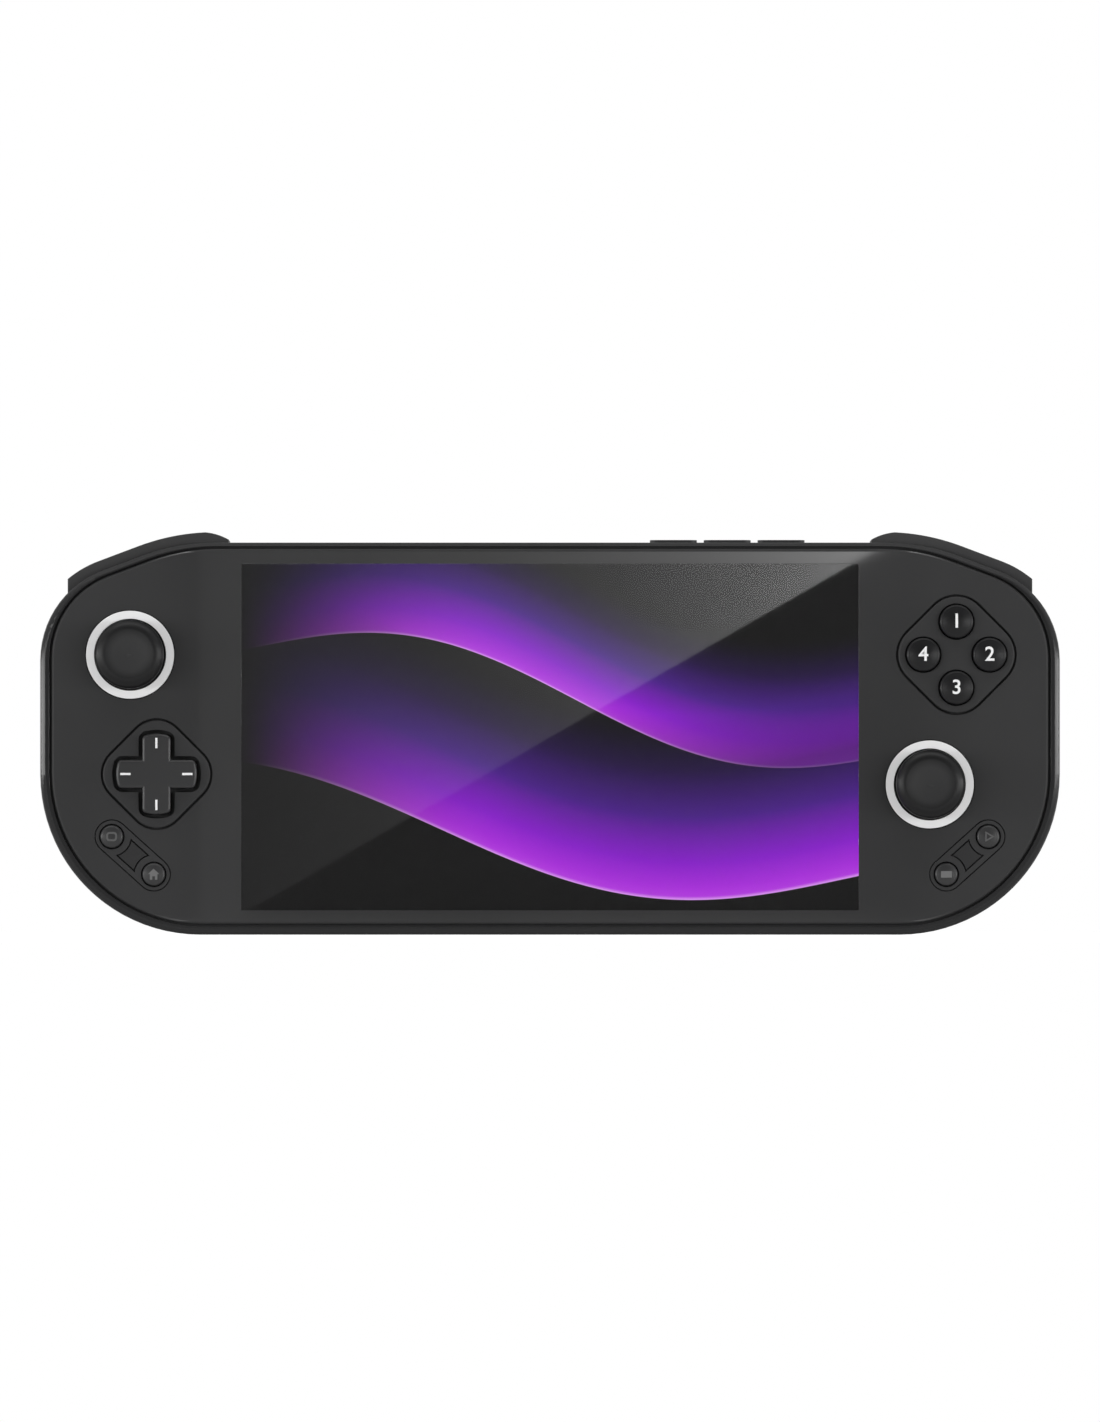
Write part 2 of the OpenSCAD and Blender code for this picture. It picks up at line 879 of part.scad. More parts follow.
module front_panel() {
  color(panel_grey)
    stand()
      difference() {
        rounded_front(panel_arcs, 0, 0, panel_t, panel_edge_r);
        layer(-cut_over, panel_t + cut_over)
          translate([0, screen_mid])
            square([screen_w, screen_h], center = true);
        for (spot = [left_stick, right_stick])
          disc(spot, ring_r + ring_line, -cut_over, panel_t + cut_over);
        diamond(dpad, dpad_plate_side, dpad_plate_r, -cut_over, panel_t + cut_over);
        diamond(face_group, face_plate_side, face_plate_r, -cut_over, panel_t + cut_over);
        both_sides()
          pill(-pill_line, -cut_over, panel_t + cut_over);
      }
}

module screen_glass() {
  color("#202022")
    stand()
      layer(0, panel_t)
        translate([0, screen_mid])
          square([screen_w - hairline, screen_h - hairline], center = true);
}

module diamond_plate(spot, side, r) {
  at(spot, 45)
    rounded_front(box_arcs(side, side, r), bezel_gap, -bezel_rise, panel_t, bezel_edge_r);
}

module dpad_plate() {
  color(panel_grey)
    stand()
      difference() {
        diamond_plate(dpad, dpad_plate_side, dpad_plate_r);
        dpad_hole(dpad_gap, -cut_over, panel_t + cut_over);
      }
}

module face_button_plate() {
  color(panel_grey)
    stand()
      difference() {
        diamond_plate(face_group, face_plate_side, face_plate_r);
        for (spot = face_spots)
          disc(spot, face_r + button_gap, -cut_over, panel_t + cut_over);
      }
}

// Tile between the two buttons of a pill, with hollow ends round the buttons
module inlay(grow) {
  at(left_pill, -menu_angle)
    difference() {
      square([menu_pitch, inlay_w + 2 * grow], center = true);
      for (end = [-0.5, 0.5])
        translate([end * menu_pitch, 0])
          circle(inlay_end_r - grow);
    }
}

module menu_plates() {
  color(panel_grey)
    stand()
      both_sides()
        difference() {
          pill(0, 0, panel_t);
          for (k = [0, 1])
            disc(menu_spot(k), menu_r + button_gap, -cut_over, panel_t + cut_over);
          layer(-cut_over, panel_t / 2)
            inlay(inlay_line);
        }
}

module menu_inlays() {
  color(panel_grey)
    stand()
      both_sides()
        layer(0, panel_t / 2)
          inlay(0);
}

module light_ring(spot) {
  color(white)
    stand()
      tube(spot, ring_r, ring_hole_r, -ring_rise, panel_t);
}

// Display and boards
module display_module() {
  color(black)
    stand()
      layer(panel_t + seat_gap, lcd_back)
        translate([0, screen_mid])
          region(box_arcs(lcd_w, lcd_h, screen_corner_r));
}

module display_bracket() {
  color(metal)
    stand()
      difference() {
        union() {
          layer(bracket_front, bracket_back)
            translate([-bracket_w / 2, bracket_base])
              square([bracket_w, bracket_h]);
          both_sides() {
            for (spot = bracket_spots)
              layer(bracket_front, bracket_back)
                translate([spot[0] - tab_w / 2, spot[1] - tab_w / 2])
                  square([-spot[0] - bracket_w / 2 + tab_w, tab_w]);
            for (spot = standoff_spots)
              disc(spot, bracket_boss_r, bracket_front + bracket_t / 2, main_front);
          }
        }
        both_sides()
          for (spot = concat(bracket_spots, standoff_spots))
            disc(spot, board_screw_r + fit, bracket_front - cut_over, main_front + cut_over);
      }
}

module main_board() {
  color(board_green)
    stand()
      difference() {
        union() {
          layer(main_front, main_back)
            translate([-main_w / 2, main_base])
              square([main_w, main_h]);
          for (x = [-chip_reach, chip_reach])
            layer(main_front + board_t / 2, main_back + chip_t)
              translate([x, can_spot[1]])
                square([chip, chip], center = true);
        }
        both_sides()
          for (spot = standoff_spots)
            disc(spot, board_screw_r + fit, main_front - cut_over, main_back + cut_over);
      }
}

module shield_can() {
  color(metal)
    stand()
      difference() {
        layer(main_back, main_back + can_t)
          translate(can_spot)
            square([can_w, can_h], center = true);
        layer(main_back - cut_over, main_back + can_t - can_wall)
          translate(can_spot)
            square([can_w - 2 * can_wall, can_h - 2 * can_wall], center = true);
      }
}

module battery() {
  color("#3b4a63")
    stand()
      layer(bracket_back + seat_gap, bracket_back + seat_gap + battery_t)
        translate([0, battery_base + battery_h / 2])
          region(box_arcs(battery_w, battery_h, battery_r));
}

// Outline of the left control board, kept clear of the shoulder
module control_board_face() {
  upper_base = body_h / 2;
  inner = half_w - lcd_half - board_clearance;
  intersection() {
    region(body_arcs, board_edge);
    translate([-half_w, 0])
      square([inner, upper_base]);
  }
  intersection() {
    region(body_arcs, board_upper_edge);
    translate([-half_w, upper_base - cut_over])
      square([inner, body_h]);
  }
}

module control_board(stick_spot) {
  difference() {
    layer(control_front, control_back)
      control_board_face();
    for (spot = case_spots)
      disc(spot, case_boss_r + boss_clearance, control_front - cut_over, control_back + cut_over);
    for (spot = board_post_spots)
      disc(spot, board_screw_r + fit, control_front - cut_over, control_back + cut_over);
    disc(stick_spot, housing_r + 2 * seat_gap, control_front - cut_over, control_back + cut_over);
  }
}

module left_control_board() {
  color(board_green)
    stand()
      control_board(left_stick);
}

module right_control_board() {
  color(board_green)
    stand()
      mirror([1, 0, 0])
        control_board(mirrored(right_stick));
}

// Ports along the bottom edge
module port_board() {
  color(board_green)
    stand()
      layer(port_front, port_back)
        translate([-jack_x - port_margin, port_base])
          square([port_w, port_h]);
}

module usb_port() {
  color(metal)
    stand() {
      difference() {
        rising(0, usb_depth, port_seat, usb_l)
          region(box_arcs(usb_w, usb_t, usb_t / 2 - land));
        rising(0, usb_depth, port_seat - cut_over, usb_l)
          region(box_arcs(usb_w - 2 * usb_wall, usb_t - 2 * usb_wall, usb_t / 2 - usb_wall - land));
      }
      rising(0, usb_depth, port_seat + cut_over, usb_l - cut_over)
        square([usb_tongue[0], usb_tongue[1]], center = true);
    }
}

module headphone_jack() {
  color(black)
    stand()
      difference() {
        union() {
          rising(-jack_x, jack_depth, wall + seat_gap, jack_l)
            square([jack_w, jack_t], center = true);
          rising(-jack_x, jack_depth, seat_gap, wall + jack_l / 2)
            circle(jack_nose_r);
        }
        rising(-jack_x, jack_depth, -cut_over, jack_l + cut_over)
          circle(jack_r);
      }
}

module card_socket() {
  color(metal)
    stand()
      difference() {
        rising(card_x, card_depth, wall + seat_gap, card_l)
          square([card_w + 2 * card_rim, card_t], center = true);
        rising(card_x, card_depth, 0, card_l)
          square([card_w, card_slot_t], center = true);
      }
}

module speaker(x) {
  depth = (speaker_front + speaker_back) / 2;
  color(black)
    stand()
      difference() {
        rising(x, depth, wall + 3 * seat_gap, speaker_h)
          square([speaker_w, speaker_back - speaker_front], center = true);
        rising(x, depth, 0, wall + cut_over)
          region(box_arcs(speaker_w - 2 * speaker_rim, speaker_cone_t, speaker_cone_t / 2 - land));
      }
}

// Rear shell
module rear_posts() {
  both_sides() {
    for (spot = case_spots)
      disc(spot, rear_boss_r, case_meet, post_root);
    disc(pin_spot, paddle_hub_r, trigger_back + move_gap, post_root);
    on_slope() {
      translate([switch_board_x, switch_board_y - 2 * seat_gap, -post_root])
        cube([switch_board_w, rib_t, post_root - switch_board_back]);
      translate([spring_x - rib_w / 2, rib_y, -post_root])
        cube([rib_w, rib_t, post_root - spring_depth + spring_r + 2 * spring_wire_r]);
    }
    disc(port_post_spot, port_post_r, port_back, post_root);
  }
}

module grip_grooves() {
  for (k = [0:grip_lines - 1])
    layer(body_t - grip_line_depth, body_t + cut_over)
      translate(grip_mid + [0, (k - (grip_lines - 1) / 2) * grip_pitch])
        region(box_arcs(grip_line_w, grip_line_t, grip_line_t / 2 - land));
}

module rear_shell() {
  color(shell_grey)
    stand()
      difference() {
        union() {
          difference() {
            rounded_back(body_arcs, 0, front_depth, body_t, back_r);
            rounded_back(body_arcs, wall, front_depth - cut_over, inner_back, back_r - wall);
          }
          rear_posts();
        }
        both_sides() {
          shoulder_pocket();
          for (spot = case_spots) {
            disc(spot, case_screw_r + 3 * fit, case_meet - cut_over, body_t + cut_over);
            disc(spot, case_head_r + 4 * fit, case_head_seat, body_t + cut_over);
          }
          disc(pin_spot, pin_r + fit, trigger_back, trigger_back + move_gap + 2 * pin_grip + seat_gap);
          grip_grooves();
        }
      }
}

module shoulder_pins() {
  color(metal)
    stand()
      both_sides()
        disc(pin_spot, pin_r, plate_back - pin_grip, trigger_back + move_gap + 2 * pin_grip);
}

module shoulder_switches() {
  color(board_green)
    stand()
      both_sides()
        on_slope() {
          translate([switch_board_x, switch_board_y, -switch_board_back])
            cube([switch_board_w, switch_board_t, switch_board_back - flange_front]);
          for (depth = [(bumper_front + bumper_back) / 2, (trigger_front + trigger_back) / 2])
            translate([switch_board_x + switch_board_w / 2, 0, -depth]) {
              translate([-switch_w / 2, switch_board_y + switch_board_t / 2, -switch_w / 2])
                cube([switch_w, switch_top - switch_board_y - switch_board_t / 2, switch_w]);
              translate([0, plunger_top, 0])
                rotate([90, 0, 0])
                  cylinder(r = plunger_r, h = plunger_top - switch_top + switch_board_t);
            }
        }
}

// Wire wound along z, drawn as rings of points joined into one tube
module coil(r, wire_r, turns, height) {
  sides = 6;
  rings = ceil(8 * turns);
  points = [
    for (i = [0:rings])
      let (turn = 360 * turns * i / rings)
        for (j = [0:sides - 1])
          let (reach = r + wire_r * cos(360 * j / sides))
            [
              reach * cos(turn),
              reach * sin(turn),
              height * i / rings + wire_r * sin(360 * j / sides)
            ]
  ];
  skin = [
    for (i = [0:rings - 1])
      for (j = [0:sides - 1])
        let (
          a = i * sides + j,
          b = i * sides + (j + 1) % sides
        )
          each [[a, b, b + sides], [a, b + sides, a + sides]]
  ];
  first_end = [for (j = [1:sides - 2]) [0, j + 1, j]];
  last_end = [for (j = [1:sides - 2]) [rings * sides, rings * sides + j, rings * sides + j + 1]];
  polyhedron(points, concat(skin, first_end, last_end));
}

module trigger_springs() {
  color(metal)
    stand()
      both_sides()
        on_slope()
          translate([spring_x, spring_top, -spring_depth])
            rotate([90, 0, 0])
              coil(spring_r, spring_wire_r, spring_turns, spring_top - spring_base);
}

module top_key_board() {
  color(board_green)
    stand() {
      rising(key_start + key_pitch, key_depth, key_board_y, key_board_t)
        square([2 * key_pitch + key_w, key_board_w], center = true);
      for (k = [0:2]) {
        x = key_start + k * key_pitch;
        rising(x, key_depth, key_board_y + key_board_t / 2, key_switch_h + key_board_t / 2)
          square([switch_w, key_t], center = true);
        rising(x, key_depth, key_board_y + key_board_t, key_plunger_top - key_board_y - key_board_t)
          circle(plunger_r);
      }
    }
}

// Membranes under the buttons
module rubber_dome(spot, radii, front) {
  at(spot)
    translate([0, 0, z_face - membrane_front - membrane_t / 2])
      cylinder(r1 = radii[0], r2 = radii[1], h = membrane_front + membrane_t / 2 - front);
}

module dpad_membrane() {
  color(rubber)
    stand() {
      tube(dpad, dpad_membrane_r, dpad_post_r + dpad_cup, membrane_front, control_front);
      for (k = [0:3])
        rubber_dome(
          dpad + dpad_dome_reach * [sin(90 * k), cos(90 * k)],
          dpad_dome, dpad_flange_back + dome_gap
        );
    }
}

module face_button_membrane() {
  color(rubber)
    stand() {
      disc(face_group, face_pitch + face_r, membrane_front, control_front);
      for (spot = face_spots)
        rubber_dome(spot, face_dome, flange_front + face_flange_t + dome_gap);
    }
}

module menu_membranes() {
  color(rubber)
    stand()
      both_sides() {
        pill(0, membrane_front, control_front);
        for (k = [0, 1])
          rubber_dome(menu_spot(k), menu_dome, flange_front + menu_flange_t + dome_gap);
      }
}

// Direction pad
module ball_at_dpad(r) {
  translate([dpad[0], dpad[1], z_face - dpad_pivot])
    sphere(r);
}

module dpad_post() {
  color(rubber)
    stand()
      difference() {
        disc(dpad, dpad_post_r, dpad_pivot + dpad_cup, control_front);
        ball_at_dpad(ball_r + fit);
      }
}

module dpad_pivot_ball() {
  color(metal)
    stand()
      ball_at_dpad(ball_r);
}

module dpad_cross() {
  color(key_grey)
    stand()
      difference() {
        union() {
          for (turn = [0, 90])
            at(dpad, turn)
              rounded_front(
                dpad_arcs, 0, -dpad_rise, (dpad_flange_front + dpad_flange_back) / 2, dpad_edge_r
              );
          disc(dpad, dpad_flange_r, dpad_flange_front, dpad_flange_back);
        }
        disc(dpad, dpad_hollow_r, dpad_pivot - dpad_cup, dpad_flange_back + cut_over);
        ball_at_dpad(ball_r + fit);
      }
}

// Round button with a crowned top and a flange under the frame plate
module round_button(spot, r, rise, crown, flange_r, flange_t) {
  crown_r = (r - button_edge_r) * (r - button_edge_r) / (2 * crown) + crown / 2;
  color(key_grey)
    stand()
      translate([spot[0], spot[1], z_face])
        rotate_extrude() {
          translate([0, -flange_front - flange_t])
            square([flange_r, flange_t]);
          translate([0, -flange_front - flange_t / 2])
            square([r, flange_front + flange_t / 2 + rise - button_edge_r]);
          translate([0, rise - 2 * button_edge_r])
            square([r - button_edge_r, 2 * button_edge_r]);
          translate([r - button_edge_r, rise - button_edge_r])
            quarter(button_edge_r);
          intersection() {
            translate([0, rise + crown - crown_r])
              circle(crown_r);
            translate([0, rise - button_edge_r])
              square([r - button_edge_r, 2 * button_edge_r]);
          }
        }
}

module face_button(k) {
  round_button(face_spots[k], face_r, face_rise, face_crown, face_flange_r, face_flange_t);
}

module menu_button(k) {
  round_button(menu_spots[k], menu_r, menu_rise, menu_crown, menu_flange_r, menu_flange_t);
}

// Keys in the top edge
module top_key(k) {
  x = key_start + k * key_pitch;
  stem_base = key_flange_top - key_flange_t / 2;
  color(key_grey)
    stand() {
      rising(x, key_depth, stem_base, body_h + key_rise - stem_base)
        region(box_arcs(key_w, key_t, key_t / 2 - land));
      rising(x, key_depth, key_flange_top - key_flange_t, key_flange_t)
        square([key_w + 2 * key_flange_over, key_t + 2 * key_flange_over], center = true);
    }
}

// Left shoulder piece seen from the front
module paddle_face() {
  intersection() {
    difference() {
      region(body_arcs, -paddle_proud);
      region(body_arcs, paddle_depth);
    }
    translate([-half_w + paddle_outer, body_h / 2])
      square([paddle_inner - paddle_outer, body_h]);
    union() {
      translate([-half_w, body_h / 2])
        square([paddle_crown, body_h]);
      translate([-half_w + paddle_crown, body_h + paddle_proud - paddle_end_r])
        circle(paddle_end_r);
    }
  }
  translate(pin_spot)
    circle(paddle_hub_r);
  intersection() {
    difference() {
      region(body_arcs, wall + hook_gap);
      region(body_arcs, wall + hook_gap + hook_t);
    }
    translate([-half_w + paddle_outer - hook_reach, body_h - hook_drop])
      square([hook_reach + cut_over, body_h]);
  }
}

module paddle(front, back) {
  color(key_grey)
    stand()
      difference() {
        layer(front, back)
          paddle_face();
        disc(pin_spot, pin_r + fit, front - cut_over, back + cut_over);
      }
}

// Stick modules
module stick_housing(spot) {
  ledge = -cradle_h / 2 - stick_click - fit;
  color(black)
    stand()
      at_pivot(spot)
        difference() {
          union() {
            translate([0, 0, housing_base])
              cylinder(r = housing_r, h = housing_top - housing_base);
            translate([0, 0, pivot_depth - control_front])
              cylinder(r = housing_flange_r, h = housing_flange_t);
          }
          translate([0, 0, ledge])
            cylinder(r = housing_r - housing_wall, h = housing_top - housing_lip - ledge);
          translate([0, 0, housing_base + housing_floor])
            cylinder(r = housing_ledge_r, h = cradle_h);
          cylinder(r = housing_lip_r, h = housing_top + cut_over);
        }
}

module stick_cradle(spot) {
  color(metal)
    stand()
      at_pivot(spot)
        difference() {
          cylinder(r = cradle_r, h = cradle_h, center = true);
          cylinder(r = cradle_hole_r, h = 2 * cradle_h, center = true);
          rotate([0, 90, 0])
            cylinder(r = yoke_pin_r + fit, h = 4 * cradle_r, center = true);
        }
}

module stick_yoke(spot) {
  color(metal)
    stand()
      at_pivot(spot)
        difference() {
          union() {
            cylinder(r = yoke_r, h = yoke_h, center = true);
            rotate([0, 90, 0])
              cylinder(r = yoke_pin_r, h = 2 * yoke_pin_reach, center = true);
          }
          cylinder(r = yoke_hole_r, h = 2 * yoke_h, center = true);
          rotate([90, 0, 0])
            cylinder(r = post_pin_r + fit, h = 4 * yoke_r, center = true);
        }
}

module stick_post(spot) {
  color(black)
    stand()
      at_pivot(spot) {
        sphere(hub_r);
        translate([0, 0, -post_tail])
          cylinder(r = post_r, h = post_tail + cap_top - cap_roof);
        rotate([90, 0, 0])
          cylinder(r = post_pin_r, h = 2 * post_pin_reach, center = true);
        rotate_extrude()
          intersection() {
            difference() {
              circle(dome_r);
              circle(dome_r - dome_t);
            }
            polygon([[0, 0], [0, 2 * dome_r], 2 * dome_r * [sin(dome_angle), cos(dome_angle)]]);
          }
      }
}

module stick_cap(spot) {
  dish_r = (cap_r - cap_edge_r) * (cap_r - cap_edge_r) / (2 * cap_dish);
  color(key_grey)
    stand()
      at_pivot(spot)
        rotate_extrude()
          difference() {
            union() {
              translate([0, cap_under - cap_neck_h])
                square([cap_neck_r, cap_neck_h + cap_low_edge_r]);
              translate([0, cap_under])
                square([cap_r - cap_edge_r, cap_top - cap_under]);
              translate([0, cap_under + cap_low_edge_r])
                square([cap_r, cap_top - cap_under - cap_low_edge_r - cap_edge_r]);
              translate([0, cap_under])
                square([cap_r - cap_low_edge_r, cap_low_edge_r]);
              translate([cap_r - cap_edge_r, cap_top - cap_edge_r])
                quarter(cap_edge_r);
              translate([cap_r - cap_low_edge_r, cap_under + cap_low_edge_r])
                mirror([0, 1])
                  quarter(cap_low_edge_r);
            }
            translate([0, cap_top - cap_dish + dish_r])
              circle(dish_r);
            square([post_r + fit, cap_top - cap_roof + fit]);
          }
}

// Fasteners
module screw(spot, seat, r, length, head_r, head_h) {
  difference() {
    union() {
      disc(spot, head_r, seat, seat + head_h);
      disc(spot, r, seat - length, seat + head_h / 2);
    }
    layer(seat + head_h / 2, seat + head_h + cut_over)
      translate(spot)
        cross(slot_share * head_r, slot_w);
  }
}

module case_screws() {
  color(metal)
    stand()
      both_sides()
        for (spot = case_spots)
          screw(
            spot, case_head_seat, case_screw_r,
            case_head_seat - case_meet + case_screw_bite, case_head_r, case_head_h
          );
}

module board_screw(spot, seat) {
  screw(spot, seat, board_screw_r, board_screw_l, board_head_r, board_head_h);
}

module board_screws() {
  color(metal)
    stand()
      both_sides() {
        for (spot = board_post_spots)
          board_screw(spot, control_back);
        for (spot = bracket_spots)
          board_screw(spot, bracket_back);
        for (spot = standoff_spots)
          board_screw(spot, main_back);
      }
}

module right_paddle(front, back) {
  mirror([1, 0, 0])
    paddle(front, back);
}

front_frame();
front_panel();
screen_glass();
display_module();
display_bracket();
rear_shell();
main_board();
shield_can();
battery();
left_control_board();
right_control_board();
port_board();
usb_port();
headphone_jack();
card_socket();
speaker(-speaker_x);  // left_speaker
speaker(speaker_x);  // right_speaker
dpad_plate();
face_button_plate();
menu_plates();
menu_inlays();
light_ring(left_stick);  // left_light_ring
light_ring(right_stick);  // right_light_ring
stick_housing(left_stick);  // left_stick_housing
stick_housing(right_stick);  // right_stick_housing
dpad_membrane();
face_button_membrane();
menu_membranes();
dpad_post();
shoulder_pins();
shoulder_switches();
trigger_springs();
top_key_board();
case_screws();
board_screws();
dpad_pivot_ball();
dpad_cross();
face_button(0);  // face_button_top
face_button(1);  // face_button_right
face_button(2);  // face_button_bottom
face_button(3);  // face_button_left
menu_button(0);  // return_button
menu_button(1);  // home_button
menu_button(2);  // start_button
menu_button(3);  // select_button
top_key(0);  // volume_down_key
top_key(1);  // volume_up_key
top_key(2);  // power_key
paddle(bumper_front, bumper_back);  // left_bumper
right_paddle(bumper_front, bumper_back);  // right_bumper
paddle(trigger_front, trigger_back);  // left_trigger
right_paddle(trigger_front, trigger_back);  // right_trigger
stick_cradle(left_stick);  // left_stick_cradle
stick_cradle(right_stick);  // right_stick_cradle
stick_yoke(left_stick);  // left_stick_yoke
stick_yoke(right_stick);  // right_stick_yoke
stick_post(left_stick);  // left_stick_post
stick_post(right_stick);  // right_stick_post
stick_cap(left_stick);  // left_stick_cap
stick_cap(right_stick);  // right_stick_cap
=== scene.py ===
import math

import bpy
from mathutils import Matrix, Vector


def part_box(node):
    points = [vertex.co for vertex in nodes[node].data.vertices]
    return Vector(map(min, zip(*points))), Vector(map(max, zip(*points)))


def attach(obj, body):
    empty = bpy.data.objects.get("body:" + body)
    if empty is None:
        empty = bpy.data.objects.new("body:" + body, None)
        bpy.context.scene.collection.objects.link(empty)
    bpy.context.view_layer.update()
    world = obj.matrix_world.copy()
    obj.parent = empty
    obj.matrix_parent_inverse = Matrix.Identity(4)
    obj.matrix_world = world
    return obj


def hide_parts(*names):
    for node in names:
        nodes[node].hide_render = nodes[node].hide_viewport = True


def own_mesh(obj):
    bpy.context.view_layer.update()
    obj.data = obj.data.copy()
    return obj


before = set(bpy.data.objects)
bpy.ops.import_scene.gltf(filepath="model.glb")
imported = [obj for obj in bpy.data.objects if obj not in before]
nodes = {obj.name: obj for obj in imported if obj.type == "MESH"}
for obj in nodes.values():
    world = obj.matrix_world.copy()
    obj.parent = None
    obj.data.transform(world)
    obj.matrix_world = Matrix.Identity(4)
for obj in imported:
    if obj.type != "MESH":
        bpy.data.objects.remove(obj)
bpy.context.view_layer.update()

# Sizes and places are in millimetres, with x to the right, y to the back and z up
MM = 0.001

# Photograph and camera
PHOTO_W, PHOTO_H = 1100, 1422
PHOTO_SCALE = 0.1843              # millimetres per pixel
PHOTO_MIDDLE_X = 550              # pixel column of the console's middle
PHOTO_BASE_Y = 934.7              # pixel row of the console's bottom edge
CAMERA_DISTANCE = 2200
EYE_Z = 2                         # height of the lens, which is shifted up to the console
SENSOR_H = 36
VIEW_END = 50000                  # how far the camera sees

# Finishes
WHITE, BLACK = (1, 1, 1, 1), (0, 0, 0, 1)
NOISE_LOW, NOISE_HIGH = 0.3, 0.7  # range that holds most of a noise
HANDLING_SCALE = 38               # handling marks per metre
HANDLING_TONE = 0.05              # how far they change the colour
HANDLING_GLOSS, HANDLING_DULL = 0.04, 0.05   # how far they lower and raise the roughness
EDGE_LIGHT = 1.3                  # how much paler a worn edge is
GRAIN_DEPTH = 0.02
MATT_FROM, MATT_FULL = 0.3, 0.6   # how level a face is where the matt finish starts and is full
MATT_ROUGHNESS = 0.6
COAT_FULL, COAT_END = 63, 75      # distances from the middle between which the polish round the picture ends
COAT_BASE, COAT_TOP = 2.5, 70.6   # heights between which that polish lies
# Stick rubber: the middle colour, and the darker colour of painted shade at the cap's rim
RUBBER_MIDDLE = (0.032, 0.032, 0.0325)
RUBBER_PAINTED_SHADE = (0.008, 0.008, 0.0082)
RUBBER_SHADE_FADE = (2.8, 5.4)          # distances from a stick's axis over which the cap is painted darker towards its rim, as shade
PICTURE_BLACK = (0.0125, 0.0125, 0.0125)
PICTURE_FROM, PICTURE_FULL = -58, -8   # stretch across which the picture rises out of black

# Softened edges
SHOULDER_EDGE, KEY_EDGE = 0.6, 0.25
EDGE_STEPS = 3
EDGE_ANGLE = 40                   # degrees beyond which an edge is softened
WELD_REACH = 0.002
SHARP_ANGLE = 35                  # degrees beyond which an edge of a new piece stays sharp

# Soft pieces. A dome has the radii of its foot and top, and the share of its height that is left when pressed
SHEET_T = 0.6
RIM_STEP = 0.2                    # width of the step to a sheet's thinner rim
AIR_HOLE_R = 0.3
NECK_WIDTH, NECK_HEIGHT = 1.1, 0.7   # shares of a dome's top radius and height, where its skirt ends
LIP_HEIGHT, LIP_INSET = 0.92, 0.2    # share of the height where the top's edge starts, and how far it goes in
PAD_DOME, PAD_KEEP = (2.1, 1.5), 0.28
PAD_SLACK = 0.1                   # gap that lets the cross tilt past the domes at its sides
PAD_REACH = 5.2                   # distance of the direction pad's domes from its middle
PAD_RIM = 7.6                     # radius beyond which the direction pad's sheet is thinner
POST_HOLE_R = 2.6
FACE_DOME, FACE_KEEP = (2.5, 1.8), 0.3
FACE_HOLE_R, FACE_RIM_W = 0.5, 0.4
MENU_DOME, MENU_KEEP = (1.8, 1.3), 0.68
MENU_SHEET_R = 2.9
SLOPE_FALL, SLOPE_RUN = 0.352, 0.936   # fall and run of the shoulders per unit length

# Print
PRINT_PROUD, PRINT_DEPTH = 0.03, 0.25  # how far marks stand above their surface, and how thick they are
TICK_REACH, TICK_SIZE = 5.7, (0.4, 1.9)
NUMERAL_SIZE, NUMERAL_SWELL = 3.7, 0.05
RETURN_OUTER, RETURN_INNER = (2.0, 1.7, 0.6), (1.3, 1.0, 0.3)   # width, height and corner radius
START_OUTER_R, START_INNER_R = 1.15, 0.6
SELECT_SIZE = (2.0, 1.2)

# Studio
FLOOR_HALF = 900                  # half the side of the floor
FLOOR_LIFT = 0.7                  # brings the pale floor up to the white of the backdrop
WORLD_LEVEL = 0.33                # scattered light of the room, whose walls look white
CARD_BEHIND = 50                  # distance of the lit card behind the camera
CARD_LEFT, CARD_RIGHT = 200, 900  # pixel columns of the face that mirror the card's sides
CARD_TOP = 400                    # pixel row that mirrors its top
CARD_EDGE = (938, 536.5)          # pixel rows that mirror its slanted lower edge, at the left and the right
CARD_FULL_X = 115.6               # where the card has its full level, and how fast it fades to the left
CARD_FADE = 63.4
CARD_LEVEL = 2.07
FLAG_HALF, FLAG_FOOT = 1600, 1    # half the width of the dark flag, and its height above the floor
LAMP_AIM = (0, 0, 40)
STRIP_X, STRIP_Y, STRIP_Z = 1000, -500, 70
STRIP_SIZE, STRIP_POWER = (1800, 130), 10.5   # power in watts
TOP_SPOT = (0, -400, 1200)
TOP_SIZE, TOP_POWER = (1600, 500), 6


# Places
def photo_point(px, py):
    """Place on the face, in millimetres, of a pixel of the photograph."""
    return (px - PHOTO_MIDDLE_X) * PHOTO_SCALE, (PHOTO_BASE_Y - py) * PHOTO_SCALE


def middle(node):
    low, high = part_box(node)
    return (low + high) / 2


def front(node):
    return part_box(node)[0].y


def back(node):
    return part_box(node)[1].y


def half_width(node):
    """Half the width of a node, in millimetres."""
    low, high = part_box(node)
    return (high.x - low.x) / 2 / MM


face_y = front("front_panel")


# Node helpers
def new_material(name):
    mat = bpy.data.materials.new(name)
    mat.use_nodes = True
    return mat, mat.node_tree


def wire(tree, node, inputs):
    """Links a node's inputs to sockets, or sets them to plain values."""
    for key, value in inputs.items():
        if isinstance(value, bpy.types.NodeSocket):
            tree.links.new(value, node.inputs[key])
        else:
            node.inputs[key].default_value = value


def add(tree, kind, inputs=None, **settings):
    """Adds a node with its options and inputs."""
    made = tree.nodes.new(kind)
    for key, value in settings.items():
        setattr(made, key, value)
    wire(tree, made, inputs or {})
    return made


def set_shader(mat, inputs):
    wire(mat.node_tree, mat.node_tree.nodes["Principled BSDF"], inputs)


def shader_source(mat, key):
    """Socket that feeds an input of a material's shader."""
    return mat.node_tree.nodes["Principled BSDF"].inputs[key].links[0].from_socket


def math_node(tree, operation, a, b=0.0):
    return add(tree, "ShaderNodeMath", {0: a, 1: b}, operation=operation).outputs[0]


def vector_node(tree, operation, a, b=(0, 0, 0)):
    return add(tree, "ShaderNodeVectorMath", {0: a, 1: b}, operation=operation).outputs


